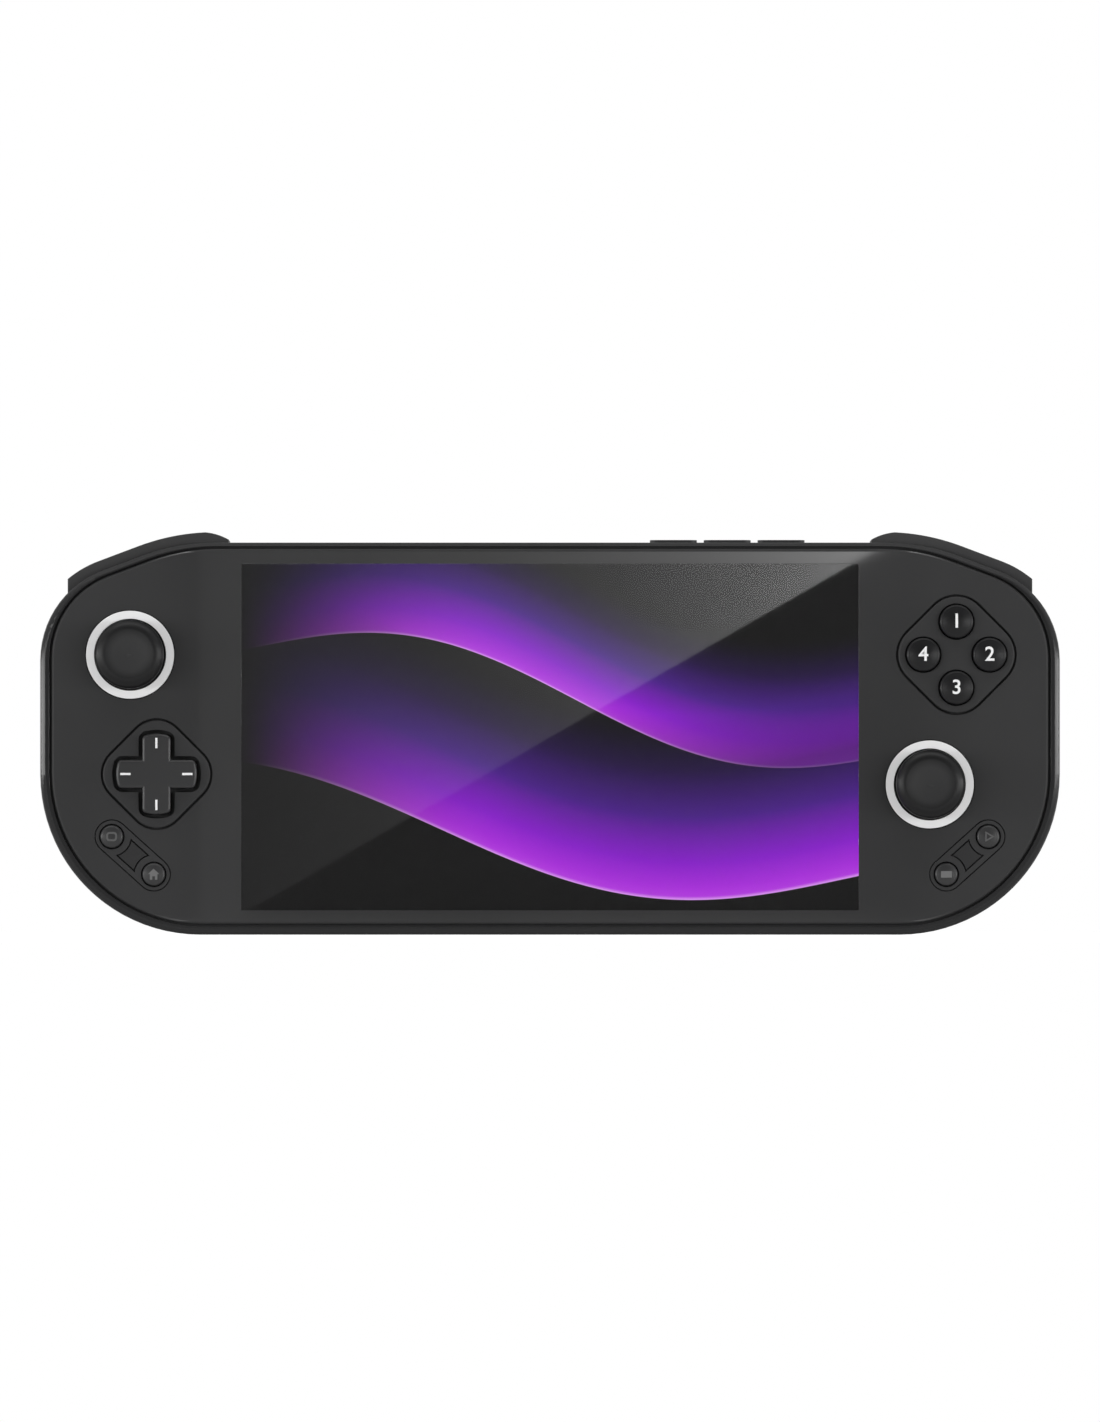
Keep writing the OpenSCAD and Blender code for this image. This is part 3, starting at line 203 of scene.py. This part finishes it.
def mix(tree, factor, first, second):
    """Mixes two colours, which are sockets 6 and 7 of the node. The result is its output 2."""
    made = add(tree, "ShaderNodeMix", {"Factor": factor, 6: first, 7: second}, data_type="RGBA")
    return made.outputs[2]


def ramp(tree, factor, stops):
    """Colour ramp with (position, colour) stops."""
    made = add(tree, "ShaderNodeValToRGB", {"Fac": factor})
    band = made.color_ramp
    while len(band.elements) < len(stops):
        band.elements.new(0.5)
    for element, (position, colour) in zip(band.elements, stops):
        element.position = position
        element.color = (*colour, 1) if len(colour) == 3 else colour
    return made


def place(tree):
    """Place in the object's own frame, in metres."""
    return add(tree, "ShaderNodeTexCoord").outputs["Object"]


def axes(tree, vector):
    return add(tree, "ShaderNodeSeparateXYZ", {"Vector": vector}).outputs


def surface_normal(tree):
    return add(tree, "ShaderNodeNewGeometry").outputs["Normal"]


def noise(tree, scale, detail=3.0):
    inputs = {"Vector": place(tree), "Scale": scale, "Detail": detail}
    return add(tree, "ShaderNodeTexNoise", inputs).outputs["Fac"]


def spread(tree, factor, low, high):
    """Maps the middle of a noise onto a range."""
    inputs = {
        "Value": factor, "From Min": NOISE_LOW, "From Max": NOISE_HIGH, "To Min": low, "To Max": high,
    }
    return add(tree, "ShaderNodeMapRange", inputs).outputs["Result"]


def fade(tree, value, start, full):
    """Smooth step from 0 to 1 between two lengths."""
    inputs = {"Value": value, "From Min": start * MM, "From Max": full * MM}
    return add(tree, "ShaderNodeMapRange", inputs, interpolation_type="SMOOTHSTEP").outputs["Result"]


def shade(colour, share):
    return tuple(min(1.0, c * share) for c in colour)


def tone(tree, colour, variation, factor):
    """Base colour that varies a little with a noise."""
    stops = [(NOISE_LOW, shade(colour, 1 - variation)), (NOISE_HIGH, shade(colour, 1 + variation))]
    return ramp(tree, factor, stops).outputs["Color"]


def broken_edge(tree, edge_mm):
    """Normal with softly broken edges, and how much it turns from the surface's own."""
    soft = add(tree, "ShaderNodeBevel", {"Radius": edge_mm * MM}, samples=4).outputs["Normal"]
    agree = vector_node(tree, "DOT_PRODUCT", soft, surface_normal(tree))["Value"]
    return soft, math_node(tree, "SUBTRACT", 1.0, agree)


def grained(tree, normal, grain, grain_scale):
    """Normal with a fine moulded grain."""
    inputs = {
        "Strength": grain, "Distance": GRAIN_DEPTH * MM, "Height": noise(tree, grain_scale), "Normal": normal,
    }
    return add(tree, "ShaderNodeBump", inputs).outputs["Normal"]


# Materials
def moulded(name, colour, roughness, grain=0.3, edge_mm=0.15, grain_scale=5200, shine=0.5):
    """Moulded plastic: fine spark-eroded grain, faint handling marks, softened and paler edges."""
    mat, tree = new_material(name)
    marks = noise(tree, HANDLING_SCALE, 2.0)
    soft, turn = broken_edge(tree, edge_mm)
    plain = tone(tree, colour, HANDLING_TONE, marks)
    set_shader(mat, {
        "Base Color": mix(tree, turn, plain, (*shade(colour, EDGE_LIGHT), 1)),
        "Roughness": spread(tree, marks, roughness - HANDLING_GLOSS, roughness + HANDLING_DULL),
        "Normal": grained(tree, soft, grain, grain_scale),
        "Specular IOR Level": shine,
    })
    return mat


def shell_material():
    """Case plastic: polished flanks, with a matt finish on the top and bottom edges."""
    mat = moulded("shell_plastic", (0.02, 0.02, 0.0205), 0.16, grain=0.1, shine=0.18)
    tree = mat.node_tree
    level = math_node(tree, "ABSOLUTE", axes(tree, surface_normal(tree))["Z"])
    inputs = {"Value": level, "From Min": MATT_FROM, "From Max": MATT_FULL, "To Max": MATT_ROUGHNESS}
    matt = add(tree, "ShaderNodeMapRange", inputs).outputs["Result"]
    set_shader(mat, {"Roughness": math_node(tree, "MAXIMUM", shader_source(mat, "Roughness"), matt)})
    return mat


def panel_material():
    """Front panel: satin plastic with a clear coat on the band round the screen."""
    mat = moulded("panel_plastic", (0.032, 0.032, 0.0325), 0.5, grain=0.12, shine=0.15)
    tree = mat.node_tree
    spot = axes(tree, place(tree))
    inside = fade(tree, math_node(tree, "ABSOLUTE", spot["X"]), COAT_END, COAT_FULL)
    above = math_node(tree, "GREATER_THAN", spot["Z"], COAT_BASE * MM)
    below = math_node(tree, "LESS_THAN", spot["Z"], COAT_TOP * MM)
    coat = math_node(tree, "MULTIPLY", inside, math_node(tree, "MULTIPLY", above, below))
    set_shader(mat, {"Coat Weight": coat, "Coat Roughness": 0.02, "Coat IOR": 1.8})
    return mat


def glass_material():
    """Clear cover glass with a trace of smears. It is bonded to the display, and mirrors little by itself."""
    mat, tree = new_material("cover_glass")
    set_shader(mat, {
        "Base Color": WHITE, "Transmission Weight": 1, "IOR": 1.15,
        "Roughness": spread(tree, noise(tree, 30, 2.0), 0.0, 0.01),
    })
    return mat


def wave(tree, x, z, base, slope, swing, length, phase, depth):
    """Share of the way above a wave's lower edge, 0 at the edge and 1 at its depth."""
    turn = math_node(tree, "ADD", math_node(tree, "MULTIPLY", x, math.tau / (length * MM)), phase)
    lift = math_node(tree, "MULTIPLY", math_node(tree, "SINE", turn), swing * MM)
    line = math_node(tree, "ADD", math_node(tree, "MULTIPLY", x, slope), lift)
    above = math_node(tree, "SUBTRACT", z, math_node(tree, "ADD", line, base * MM))
    return math_node(tree, "DIVIDE", above, depth * MM)


def picture_material():
    """Lit display with the gloss of the bonded screen: violet waves with bright lower edges on black."""
    mat, tree = new_material("display_picture")
    spot = axes(tree, place(tree))
    glow = [
        (0.0, (0.75, 0.35, 0.90, 1)), (0.018, (0.47, 0.05, 0.77, 1)), (0.07, (0.40, 0.034, 0.72, 1)),
        (0.2, (0.255, 0.019, 0.60, 1)), (0.45, (0.076, 0.02, 0.246, 1)), (0.7, (0.03, 0.0145, 0.076, 0.75)),
        (1.0, (*PICTURE_BLACK, 0)),
    ]
    waves = [
        dict(base=44, slope=-0.16, swing=7, length=120, phase=-3.4, depth=24),
        dict(base=17, slope=-0.12, swing=8, length=150, phase=-2.3, depth=34),
    ]
    risen = fade(tree, spot["X"], PICTURE_FROM, PICTURE_FULL)
    colour = (*PICTURE_BLACK, 1)
    for shape in waves:
        up = wave(tree, spot["X"], spot["Z"], **shape)
        band = ramp(tree, up, glow)
        cover = math_node(tree, "MULTIPLY", math_node(tree, "GREATER_THAN", up, 0.0), band.outputs["Alpha"])
        colour = mix(tree, math_node(tree, "MULTIPLY", cover, risen), colour, band.outputs["Color"])
    set_shader(mat, {
        "Base Color": (0.004, 0.004, 0.004, 1), "Roughness": 0.6, "Specular IOR Level": 0.0,
        "Coat Weight": 1.0, "Coat Roughness": 0.01, "Coat IOR": 1.7,
        "Emission Color": colour, "Emission Strength": 1.0,
    })
    return mat


def ring_material():
    """White light ring, faintly lit from behind."""
    mat = moulded("ring_diffuser", (0.72, 0.72, 0.72), 0.55, grain=0.1, edge_mm=0.1)
    set_shader(mat, {"Emission Color": WHITE, "Emission Strength": 0.12})
    return mat


def rubber_material(cap):
    """Stick rubber whose cap is painted darker towards its rim, as shade that falls off from the middle."""
    mat = moulded(f"{cap}_rubber", RUBBER_MIDDLE, 0.36, grain=0.1, edge_mm=0.02, shine=0.16)
    tree = mat.node_tree
    spot = vector_node(tree, "SUBTRACT", place(tree), middle(cap))["Vector"]
    flat = vector_node(tree, "MULTIPLY", spot, (1, 0, 1))["Vector"]
    reach = vector_node(tree, "LENGTH", flat)["Value"]
    # painted shade: the cap's colour darkens from the middle towards its rim
    rim_shade = fade(tree, reach, *RUBBER_SHADE_FADE)
    set_shader(mat, {"Base Color": mix(tree, rim_shade, shader_source(mat, "Base Color"), (*RUBBER_PAINTED_SHADE, 1))})
    return mat


def metal_material(name, colour, roughness, scale=900):
    """Metal with fine drawn streaks."""
    mat, tree = new_material(name)
    stretched = add(tree, "ShaderNodeMapping", {"Vector": place(tree), "Scale": (1, 14, 1)})
    inputs = {"Vector": stretched.outputs["Vector"], "Scale": scale, "Detail": 2.0}
    streaks = add(tree, "ShaderNodeTexNoise", inputs).outputs["Fac"]
    set_shader(mat, {
        "Metallic": 1, "Base Color": tone(tree, colour, 0.12, streaks),
        "Roughness": spread(tree, streaks, roughness - 0.08, roughness + 0.1),
    })
    return mat


def board_material():
    """Circuit board: green mask over faint traces."""
    mat, tree = new_material("circuit_board")
    traces = add(tree, "ShaderNodeTexBrick", {
        "Vector": place(tree), "Scale": 260.0, "Mortar Size": 0.04, "Color1": (0.012, 0.075, 0.035, 1),
        "Color2": (0.016, 0.09, 0.045, 1), "Mortar": (0.03, 0.15, 0.07, 1),
    })
    set_shader(mat, {
        "Base Color": traces.outputs["Color"], "Roughness": spread(tree, noise(tree, 300), 0.28, 0.4),
    })
    return mat


def print_material(name, colour):
    """Printed mark whose ink is slightly uneven."""
    mat, tree = new_material(name)
    set_shader(mat, {
        "Base Color": tone(tree, colour, 0.04, noise(tree, 6000, 2.0)),
        "Roughness": spread(tree, noise(tree, 900), 0.45, 0.6),
    })
    return mat


plate = moulded("plate_plastic", (0.033, 0.033, 0.0335), 0.5, grain=0.12, edge_mm=0.12, shine=0.15)
tile = moulded("tile_plastic", (0.027, 0.027, 0.0275), 0.45, grain=0.12, edge_mm=0.1, shine=0.15)
key = moulded("key_plastic", (0.026, 0.026, 0.0265), 0.36, grain=0.1, shine=0.3)
button = moulded("button_plastic", (0.01, 0.01, 0.0105), 0.34, grain=0.1, shine=0.17)
shoulder = moulded("shoulder_plastic", (0.034, 0.034, 0.0345), 0.48, edge_mm=0.3, shine=0.25)
black = moulded("black_plastic", (0.012, 0.012, 0.012), 0.45)
silicone = moulded("silicone", (0.12, 0.12, 0.125), 0.6, grain=0.2)
wrap = moulded("battery_wrap", (0.03, 0.04, 0.08), 0.35, grain=0.1, grain_scale=700)
steel = metal_material("steel", (0.5, 0.51, 0.52), 0.3)
dark_steel = metal_material("blackened_steel", (0.1, 0.1, 0.105), 0.35)
aluminium = metal_material("aluminium", (0.6, 0.61, 0.62), 0.38, 500)
white_print = print_material("white_print", (0.85, 0.85, 0.85))
grey_print = print_material("grey_print", (0.13, 0.13, 0.13))
dim_print = print_material("dim_print", (0.075, 0.075, 0.075))

finishes = {
    shell_material(): ["front_frame", "rear_shell"],
    panel_material(): ["front_panel"],
    plate: ["dpad_plate", "face_button_plate", "menu_plates"],
    glass_material(): ["screen_glass"],
    picture_material(): ["display_module"],
    ring_material(): ["left_light_ring", "right_light_ring"],
    shoulder: ["left_bumper", "right_bumper", "left_trigger", "right_trigger"],
    rubber_material("left_stick_cap"): ["left_stick_cap"],
    rubber_material("right_stick_cap"): ["right_stick_cap"],
    key: [
        "dpad_cross", "return_button", "home_button", "start_button", "select_button",
        "volume_down_key", "volume_up_key", "power_key",
    ],
    button: ["face_button_top", "face_button_right", "face_button_bottom", "face_button_left"],
    tile: ["menu_inlays"],
    dark_steel: [
        "case_screws", "left_stick_cradle", "right_stick_cradle", "left_stick_yoke", "right_stick_yoke",
    ],
    black: [
        "headphone_jack", "left_speaker", "right_speaker", "left_stick_housing", "right_stick_housing",
        "left_stick_post", "right_stick_post", "dpad_post",
    ],
    wrap: ["battery"],
    aluminium: ["display_bracket", "shield_can"],
    steel: ["usb_port", "card_socket", "shoulder_pins", "board_screws", "dpad_pivot_ball"],
    board_material(): [
        "main_board", "left_control_board", "right_control_board", "port_board", "shoulder_switches",
        "top_key_board",
    ],
}
for mat, names in finishes.items():
    for name in names:
        nodes[name].data.materials.clear()
        nodes[name].data.materials.append(mat)


# Softer edges on the pieces that fingers touch
def soften(name, width):
    piece = nodes[name]
    weld = piece.modifiers.new("weld", "WELD")
    weld.merge_threshold = WELD_REACH * MM
    bevel = piece.modifiers.new("bevel", "BEVEL")
    bevel.width = width * MM
    bevel.segments = EDGE_STEPS
    bevel.limit_method = "ANGLE"
    bevel.angle_limit = math.radians(EDGE_ANGLE)
    bevel.use_clamp_overlap = True
    piece.modifiers.new("normals", "WEIGHTED_NORMAL").keep_sharp = False


for name in ("left_bumper", "right_bumper", "left_trigger", "right_trigger"):
    soften(name, SHOULDER_EDGE)
for name in ("volume_down_key", "volume_up_key", "power_key"):
    soften(name, KEY_EDGE)


# New pieces
def new_object(name, data):
    made = bpy.data.objects.new(name, data)
    bpy.context.scene.collection.objects.link(made)
    return made


def new_piece(name, points, faces, mat):
    mesh = bpy.data.meshes.new(name)
    mesh.from_pydata(points, [], faces)
    mesh.update()
    mesh.materials.append(mat)
    return new_object(name, mesh)


def rounded(piece):
    """Smooth shading, apart from the sharp edges."""
    piece.data.shade_smooth()
    piece.data.set_sharp_from_angle(angle=math.radians(SHARP_ANGLE))
    return piece


def prism(name, outlines, centre, front_y, depth, mat):
    """Flat piece from closed outlines of (x, z) points in millimetres round a centre."""
    points, faces = [], []
    for outline in outlines:
        first, count = len(points), len(outline)
        for y in (front_y, front_y + depth * MM):
            points += [(centre.x + x * MM, y, centre.z + z * MM) for x, z in outline]
        near = [first + k for k in range(count)]
        far = [k + count for k in near]
        faces += [near, far[::-1]]
        faces += [
            (near[k], far[k], far[(k + 1) % count], near[(k + 1) % count]) for k in range(count)
        ]
    return new_piece(name, points, faces, mat)


def turned(name, centre, profile, mat, steps=40):
    """Round piece about a line along y, from a closed profile of (radius, y) points in millimetres."""
    count = len(profile)
    turns = [math.tau * k / steps for k in range(steps)]
    points = [
        (centre.x + r * MM * math.cos(a), centre.y + y * MM, centre.z + r * MM * math.sin(a))
        for a in turns for r, y in profile
    ]
    faces = [
        (
            k * count + i, (k + 1) % steps * count + i,
            (k + 1) % steps * count + (i + 1) % count, k * count + (i + 1) % count,
        )
        for k in range(steps) for i in range(count)
    ]
    return rounded(new_piece(name, points, faces, mat))


def one_side(name, node, side, mat):
    """Copy of what a node has at the left, side -1, or at the right, side 1."""
    mesh = nodes[node].data
    kept = [v.index for v in mesh.vertices if v.co.x * side > 0]
    number = {index: k for k, index in enumerate(kept)}
    faces = [[number[v] for v in p.vertices] for p in mesh.polygons if p.vertices[0] in number]
    return rounded(new_piece(name, [mesh.vertices[v].co for v in kept], faces, mat))


# Soft pieces inside: silicone sheets with domes under the buttons, and the triggers' springs
def stand_for(piece, node):
    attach(piece, "console")
    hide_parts(node)


def soft_dome(name, node, spot, radii, slack=0.0):
    """Dome between a sheet and a button. The middle is left open, as a keypad's air hole."""
    base = back(node) - SHEET_T * MM
    rise = (base - front(node)) / MM - slack
    foot, top = radii
    profile = [
        (AIR_HOLE_R, 0), (foot, 0), (top * NECK_WIDTH, -rise * NECK_HEIGHT), (top, -rise * LIP_HEIGHT),
        (top - LIP_INSET, -rise), (AIR_HOLE_R, -rise),
    ]
    piece = turned(name, Vector((spot.x, base, spot.z)), profile, silicone)
    stand_for(piece, node)
    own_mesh(piece)


def round_sheet(name, node, hole_r, rim_r):
    """Round sheet at the back of a node, thinner beyond a radius."""
    centre = middle(node)
    centre.y = back(node)
    outer_r = half_width(node)
    rim_t = SHEET_T / 2
    profile = [
        (hole_r, 0), (outer_r, 0), (outer_r, -rim_t), (rim_r + RIM_STEP, -rim_t), (rim_r, -SHEET_T),
        (hole_r, -SHEET_T),
    ]
    stand_for(turned(name, centre, profile, silicone), node)


def capsule(a, b, r, steps=12):
    """Outline of (x, z) points in millimetres round two places."""
    along = math.atan2(b.z - a.z, b.x - a.x)
    turns = [along + math.pi * (0.5 + k / steps) for k in range(steps + 1)]
    return [
        (end.x / MM + r * math.cos(t + half), end.z / MM + r * math.sin(t + half))
        for end, half in ((a, 0), (b, math.pi)) for t in turns
    ]


QUARTERS = [(0, 1), (1, 0), (0, -1), (-1, 0)]   # (x, z) directions up, right, down and left
round_sheet("dpad_sheet", "dpad_membrane", POST_HOLE_R, PAD_RIM)
for k, (x, z) in enumerate(QUARTERS):
    soft_dome(
        f"dpad_dome_{k + 1}", "dpad_membrane", middle("dpad_membrane") + Vector((x, 0, z)) * PAD_REACH * MM,
        PAD_DOME, PAD_SLACK
    )

face_rim = half_width("face_button_membrane") - FACE_RIM_W
round_sheet("face_sheet", "face_button_membrane", FACE_HOLE_R, face_rim)
for side in ("top", "right", "bottom", "left"):
    soft_dome(
        f"face_dome_{side}", "face_button_membrane", middle(f"face_button_{side}"), FACE_DOME,
    )

menu_sheet_y = back("menu_membranes") - SHEET_T * MM
for side, pair in [("left", ("return", "home")), ("right", ("start", "select"))]:
    spots = [middle(f"{name}_button") for name in pair]
    outline = capsule(*spots, MENU_SHEET_R)
    sheet = prism(f"{side}_menu_sheet", [outline], Vector(), menu_sheet_y, SHEET_T, silicone)
    stand_for(sheet, "menu_membranes")
    for name, spot in zip(pair, spots):
        soft_dome(f"{name}_dome", "menu_membranes", spot, MENU_DOME)

for name, side in [("left", -1), ("right", 1)]:
    spring = one_side(f"{name}_trigger_spring", "trigger_springs", side, steel)
    upward = Vector((side * SLOPE_FALL, 0, SLOPE_RUN))
    foot = min((v.co for v in spring.data.vertices), key=upward.dot)
    stand_for(spring, "trigger_springs")
    foot.copy()
    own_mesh(spring)


# Printed marks
MARKED_NODES = {
    "dpad": "dpad_cross", "face_top": "face_button_top", "face_right": "face_button_right",
    "face_bottom": "face_button_bottom", "face_left": "face_button_left", "return": "return_button",
    "home": "home_button", "start": "start_button", "select": "select_button",
}


def mark(name, outlines, body, mat):
    """Thin print set on the front of a body's node."""
    node = MARKED_NODES[body]
    piece = prism(name, outlines, middle(node), front(node) - PRINT_PROUD * MM, PRINT_DEPTH, mat)
    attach(piece, body)


def bar(width, height, x=0.0, z=0.0):
    w, h = width / 2, height / 2
    return [(x - w, z - h), (x + w, z - h), (x + w, z + h), (x - w, z + h)]


def round_box(w, h, r, steps=5):
    points = []
    for turn, (sx, sz) in enumerate([(1, -1), (1, 1), (-1, 1), (-1, -1)]):
        for k in range(steps + 1):
            angle = math.radians(-90 + 90 * turn + 90 * k / steps)
            points.append((sx * (w / 2 - r) + r * math.cos(angle), sz * (h / 2 - r) + r * math.sin(angle)))
    return points


def triangle(r):
    turns = [math.tau * k / 3 for k in range(3)]
    return [(r * math.cos(a), r * math.sin(a)) for a in turns]


def band(outer, inner):
    """Closed band between two outlines with the same number of points."""
    pairs = list(zip(outer, inner))
    return [[a[0], b[0], b[1], a[1]] for a, b in zip(pairs, pairs[1:] + pairs[:1])]


HOUSE = [
    (-0.7, -1.0), (-0.25, -1.0), (-0.25, -0.35), (0.25, -0.35), (0.25, -1.0), (0.7, -1.0), (0.7, 0.05),
    (1.05, 0.05), (0.0, 1.05), (-1.05, 0.05), (-0.7, 0.05),
]
for k, (x, z) in enumerate(QUARTERS):
    size = TICK_SIZE[::-1] if x else TICK_SIZE
    mark(f"dpad_tick_{k + 1}", [bar(*size, x * TICK_REACH, z * TICK_REACH)], "dpad", white_print)
mark("return_icon", band(round_box(*RETURN_OUTER), round_box(*RETURN_INNER)), "return", dim_print)
mark("home_icon", [HOUSE], "home", grey_print)
mark("start_icon", band(triangle(START_OUTER_R), triangle(START_INNER_R)), "start", dim_print)
mark("select_icon", [bar(*SELECT_SIZE)], "select", grey_print)


def numeral(text, body):
    """Plain digit on a face button."""
    node = MARKED_NODES[body]
    spot = middle(node)
    spot.y = front(node) + (PRINT_DEPTH / 2 - PRINT_PROUD) * MM
    curve = bpy.data.curves.new(f"{body}_numeral", "FONT")
    curve.body = text
    curve.size = NUMERAL_SIZE * MM
    curve.align_x, curve.align_y = "CENTER", "CENTER"
    curve.extrude = PRINT_DEPTH / 2 * MM
    curve.offset = NUMERAL_SWELL * MM
    curve.materials.append(white_print)
    piece = new_object(f"{body}_numeral", curve)
    piece.location = spot
    piece.rotation_euler = (math.radians(90), 0, 0)
    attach(piece, body)


for text, body in [("1", "face_top"), ("2", "face_right"), ("3", "face_bottom"), ("4", "face_left")]:
    numeral(text, body)


# Floor
def looked_at(tree):
    """1 for the rays of the camera, of mirrors and of clear glass, 0 for scattered light."""
    rays = add(tree, "ShaderNodeLightPath").outputs
    seen = math_node(tree, "MAXIMUM", rays["Is Camera Ray"], rays["Is Glossy Ray"])
    return math_node(tree, "MAXIMUM", seen, rays["Is Transmission Ray"])


def floor_material():
    mat, tree = new_material("pale_floor")
    set_shader(mat, {
        "Base Color": tone(tree, (0.5, 0.5, 0.5), 0.005, noise(tree, 3)),
        "Roughness": 0.9,
        "Emission Color": WHITE,
        "Emission Strength": math_node(tree, "MULTIPLY", looked_at(tree), FLOOR_LIFT),
    })
    return mat


def stage_piece(name, corners, mat):
    """Flat piece of the studio, from corners in metres."""
    piece = new_piece(name, corners, [tuple(range(len(corners)))], mat)
    return piece


floor_half = FLOOR_HALF * MM
stage_piece("floor", [
    (-floor_half, -floor_half, 0), (floor_half, -floor_half, 0),
    (floor_half, floor_half, 0), (-floor_half, floor_half, 0),
], floor_material())


# Studio behind the camera: a dark flag, and a lit card whose slanted edge shows in the polished screen
def card_material():
    """Light that grows from left to right, by the same factor over each stretch."""
    mat, tree = new_material("reflector_card")
    across = axes(tree, place(tree))["X"]
    run = math_node(tree, "DIVIDE", math_node(tree, "SUBTRACT", across, CARD_FULL_X * MM), CARD_FADE * MM)
    level = math_node(tree, "MULTIPLY", math_node(tree, "EXPONENT", run), CARD_LEVEL)
    set_shader(mat, {"Base Color": BLACK, "Emission Color": WHITE, "Emission Strength": level})
    return mat


def flag_material():
    mat, tree = new_material("flag_cloth")
    set_shader(mat, {
        "Base Color": tone(tree, (0.01, 0.01, 0.01), 0.2, noise(tree, 40)), "Roughness": 1,
        "Specular IOR Level": 0,
    })
    return mat


def mirrored_spot(px, py):
    """Place just behind the camera that a pixel of the flat face reflects."""
    x, z = photo_point(px, py)
    reach = 1 + CARD_BEHIND / CAMERA_DISTANCE
    return (
        x * MM * (1 + reach),
        face_y - (CAMERA_DISTANCE + CARD_BEHIND) * MM,
        (z + (z - EYE_Z) * reach) * MM,
    )


card = stage_piece("reflector_card", [
    mirrored_spot(CARD_LEFT, CARD_EDGE[0]), mirrored_spot(CARD_RIGHT, CARD_EDGE[1]),
    mirrored_spot(CARD_RIGHT, CARD_TOP), mirrored_spot(CARD_LEFT, CARD_TOP),
], card_material())
flag_y = face_y - (CAMERA_DISTANCE + 2 * CARD_BEHIND) * MM
flag_half, flag_foot = FLAG_HALF * MM, FLAG_FOOT * MM
flag = stage_piece("dark_flag", [
    (-flag_half, flag_y, flag_foot), (flag_half, flag_y, flag_foot),
    (flag_half, flag_y, flag_half), (-flag_half, flag_y, flag_half),
], flag_material())
card.visible_camera = False
flag.visible_camera = False


# Light
def lamp(name, spot, size, power):
    light = bpy.data.lights.new(name, "AREA")
    light.shape = "RECTANGLE"
    light.size, light.size_y = (side * MM for side in size)
    light.energy = power
    made = new_object(name, light)
    made.location = Vector(spot) * MM
    made.rotation_euler = (Vector(LAMP_AIM) - Vector(spot)).to_track_quat("-Z", "Y").to_euler()


lamp("left_strip", (-STRIP_X, STRIP_Y, STRIP_Z), STRIP_SIZE, STRIP_POWER)
lamp("right_strip", (STRIP_X, STRIP_Y, STRIP_Z), STRIP_SIZE, STRIP_POWER)
lamp("top_box", TOP_SPOT, TOP_SIZE, TOP_POWER)

world = bpy.data.worlds.new("studio")
bpy.context.scene.world = world
world.use_nodes = True
air = world.node_tree
level = math_node(air, "ADD", math_node(air, "MULTIPLY", looked_at(air), 1 - WORLD_LEVEL), WORLD_LEVEL)
wire(air, air.nodes["Background"], {"Color": WHITE, "Strength": level})

# Camera
camera = bpy.data.cameras.new("camera")
camera.sensor_fit = "VERTICAL"
camera.sensor_height = SENSOR_H
frame_x, frame_z = photo_point(PHOTO_W / 2, PHOTO_H / 2)
camera.lens = CAMERA_DISTANCE * SENSOR_H / (PHOTO_H * PHOTO_SCALE)
camera.shift_y = (frame_z - EYE_Z) / (PHOTO_H * PHOTO_SCALE)
camera.clip_end = VIEW_END * MM
eye = new_object("camera", camera)
eye.location = (frame_x * MM, face_y - CAMERA_DISTANCE * MM, EYE_Z * MM)
eye.rotation_euler = (math.radians(90), 0, 0)
bpy.context.scene.camera = eye
bpy.context.scene.view_settings.view_transform = "Standard"
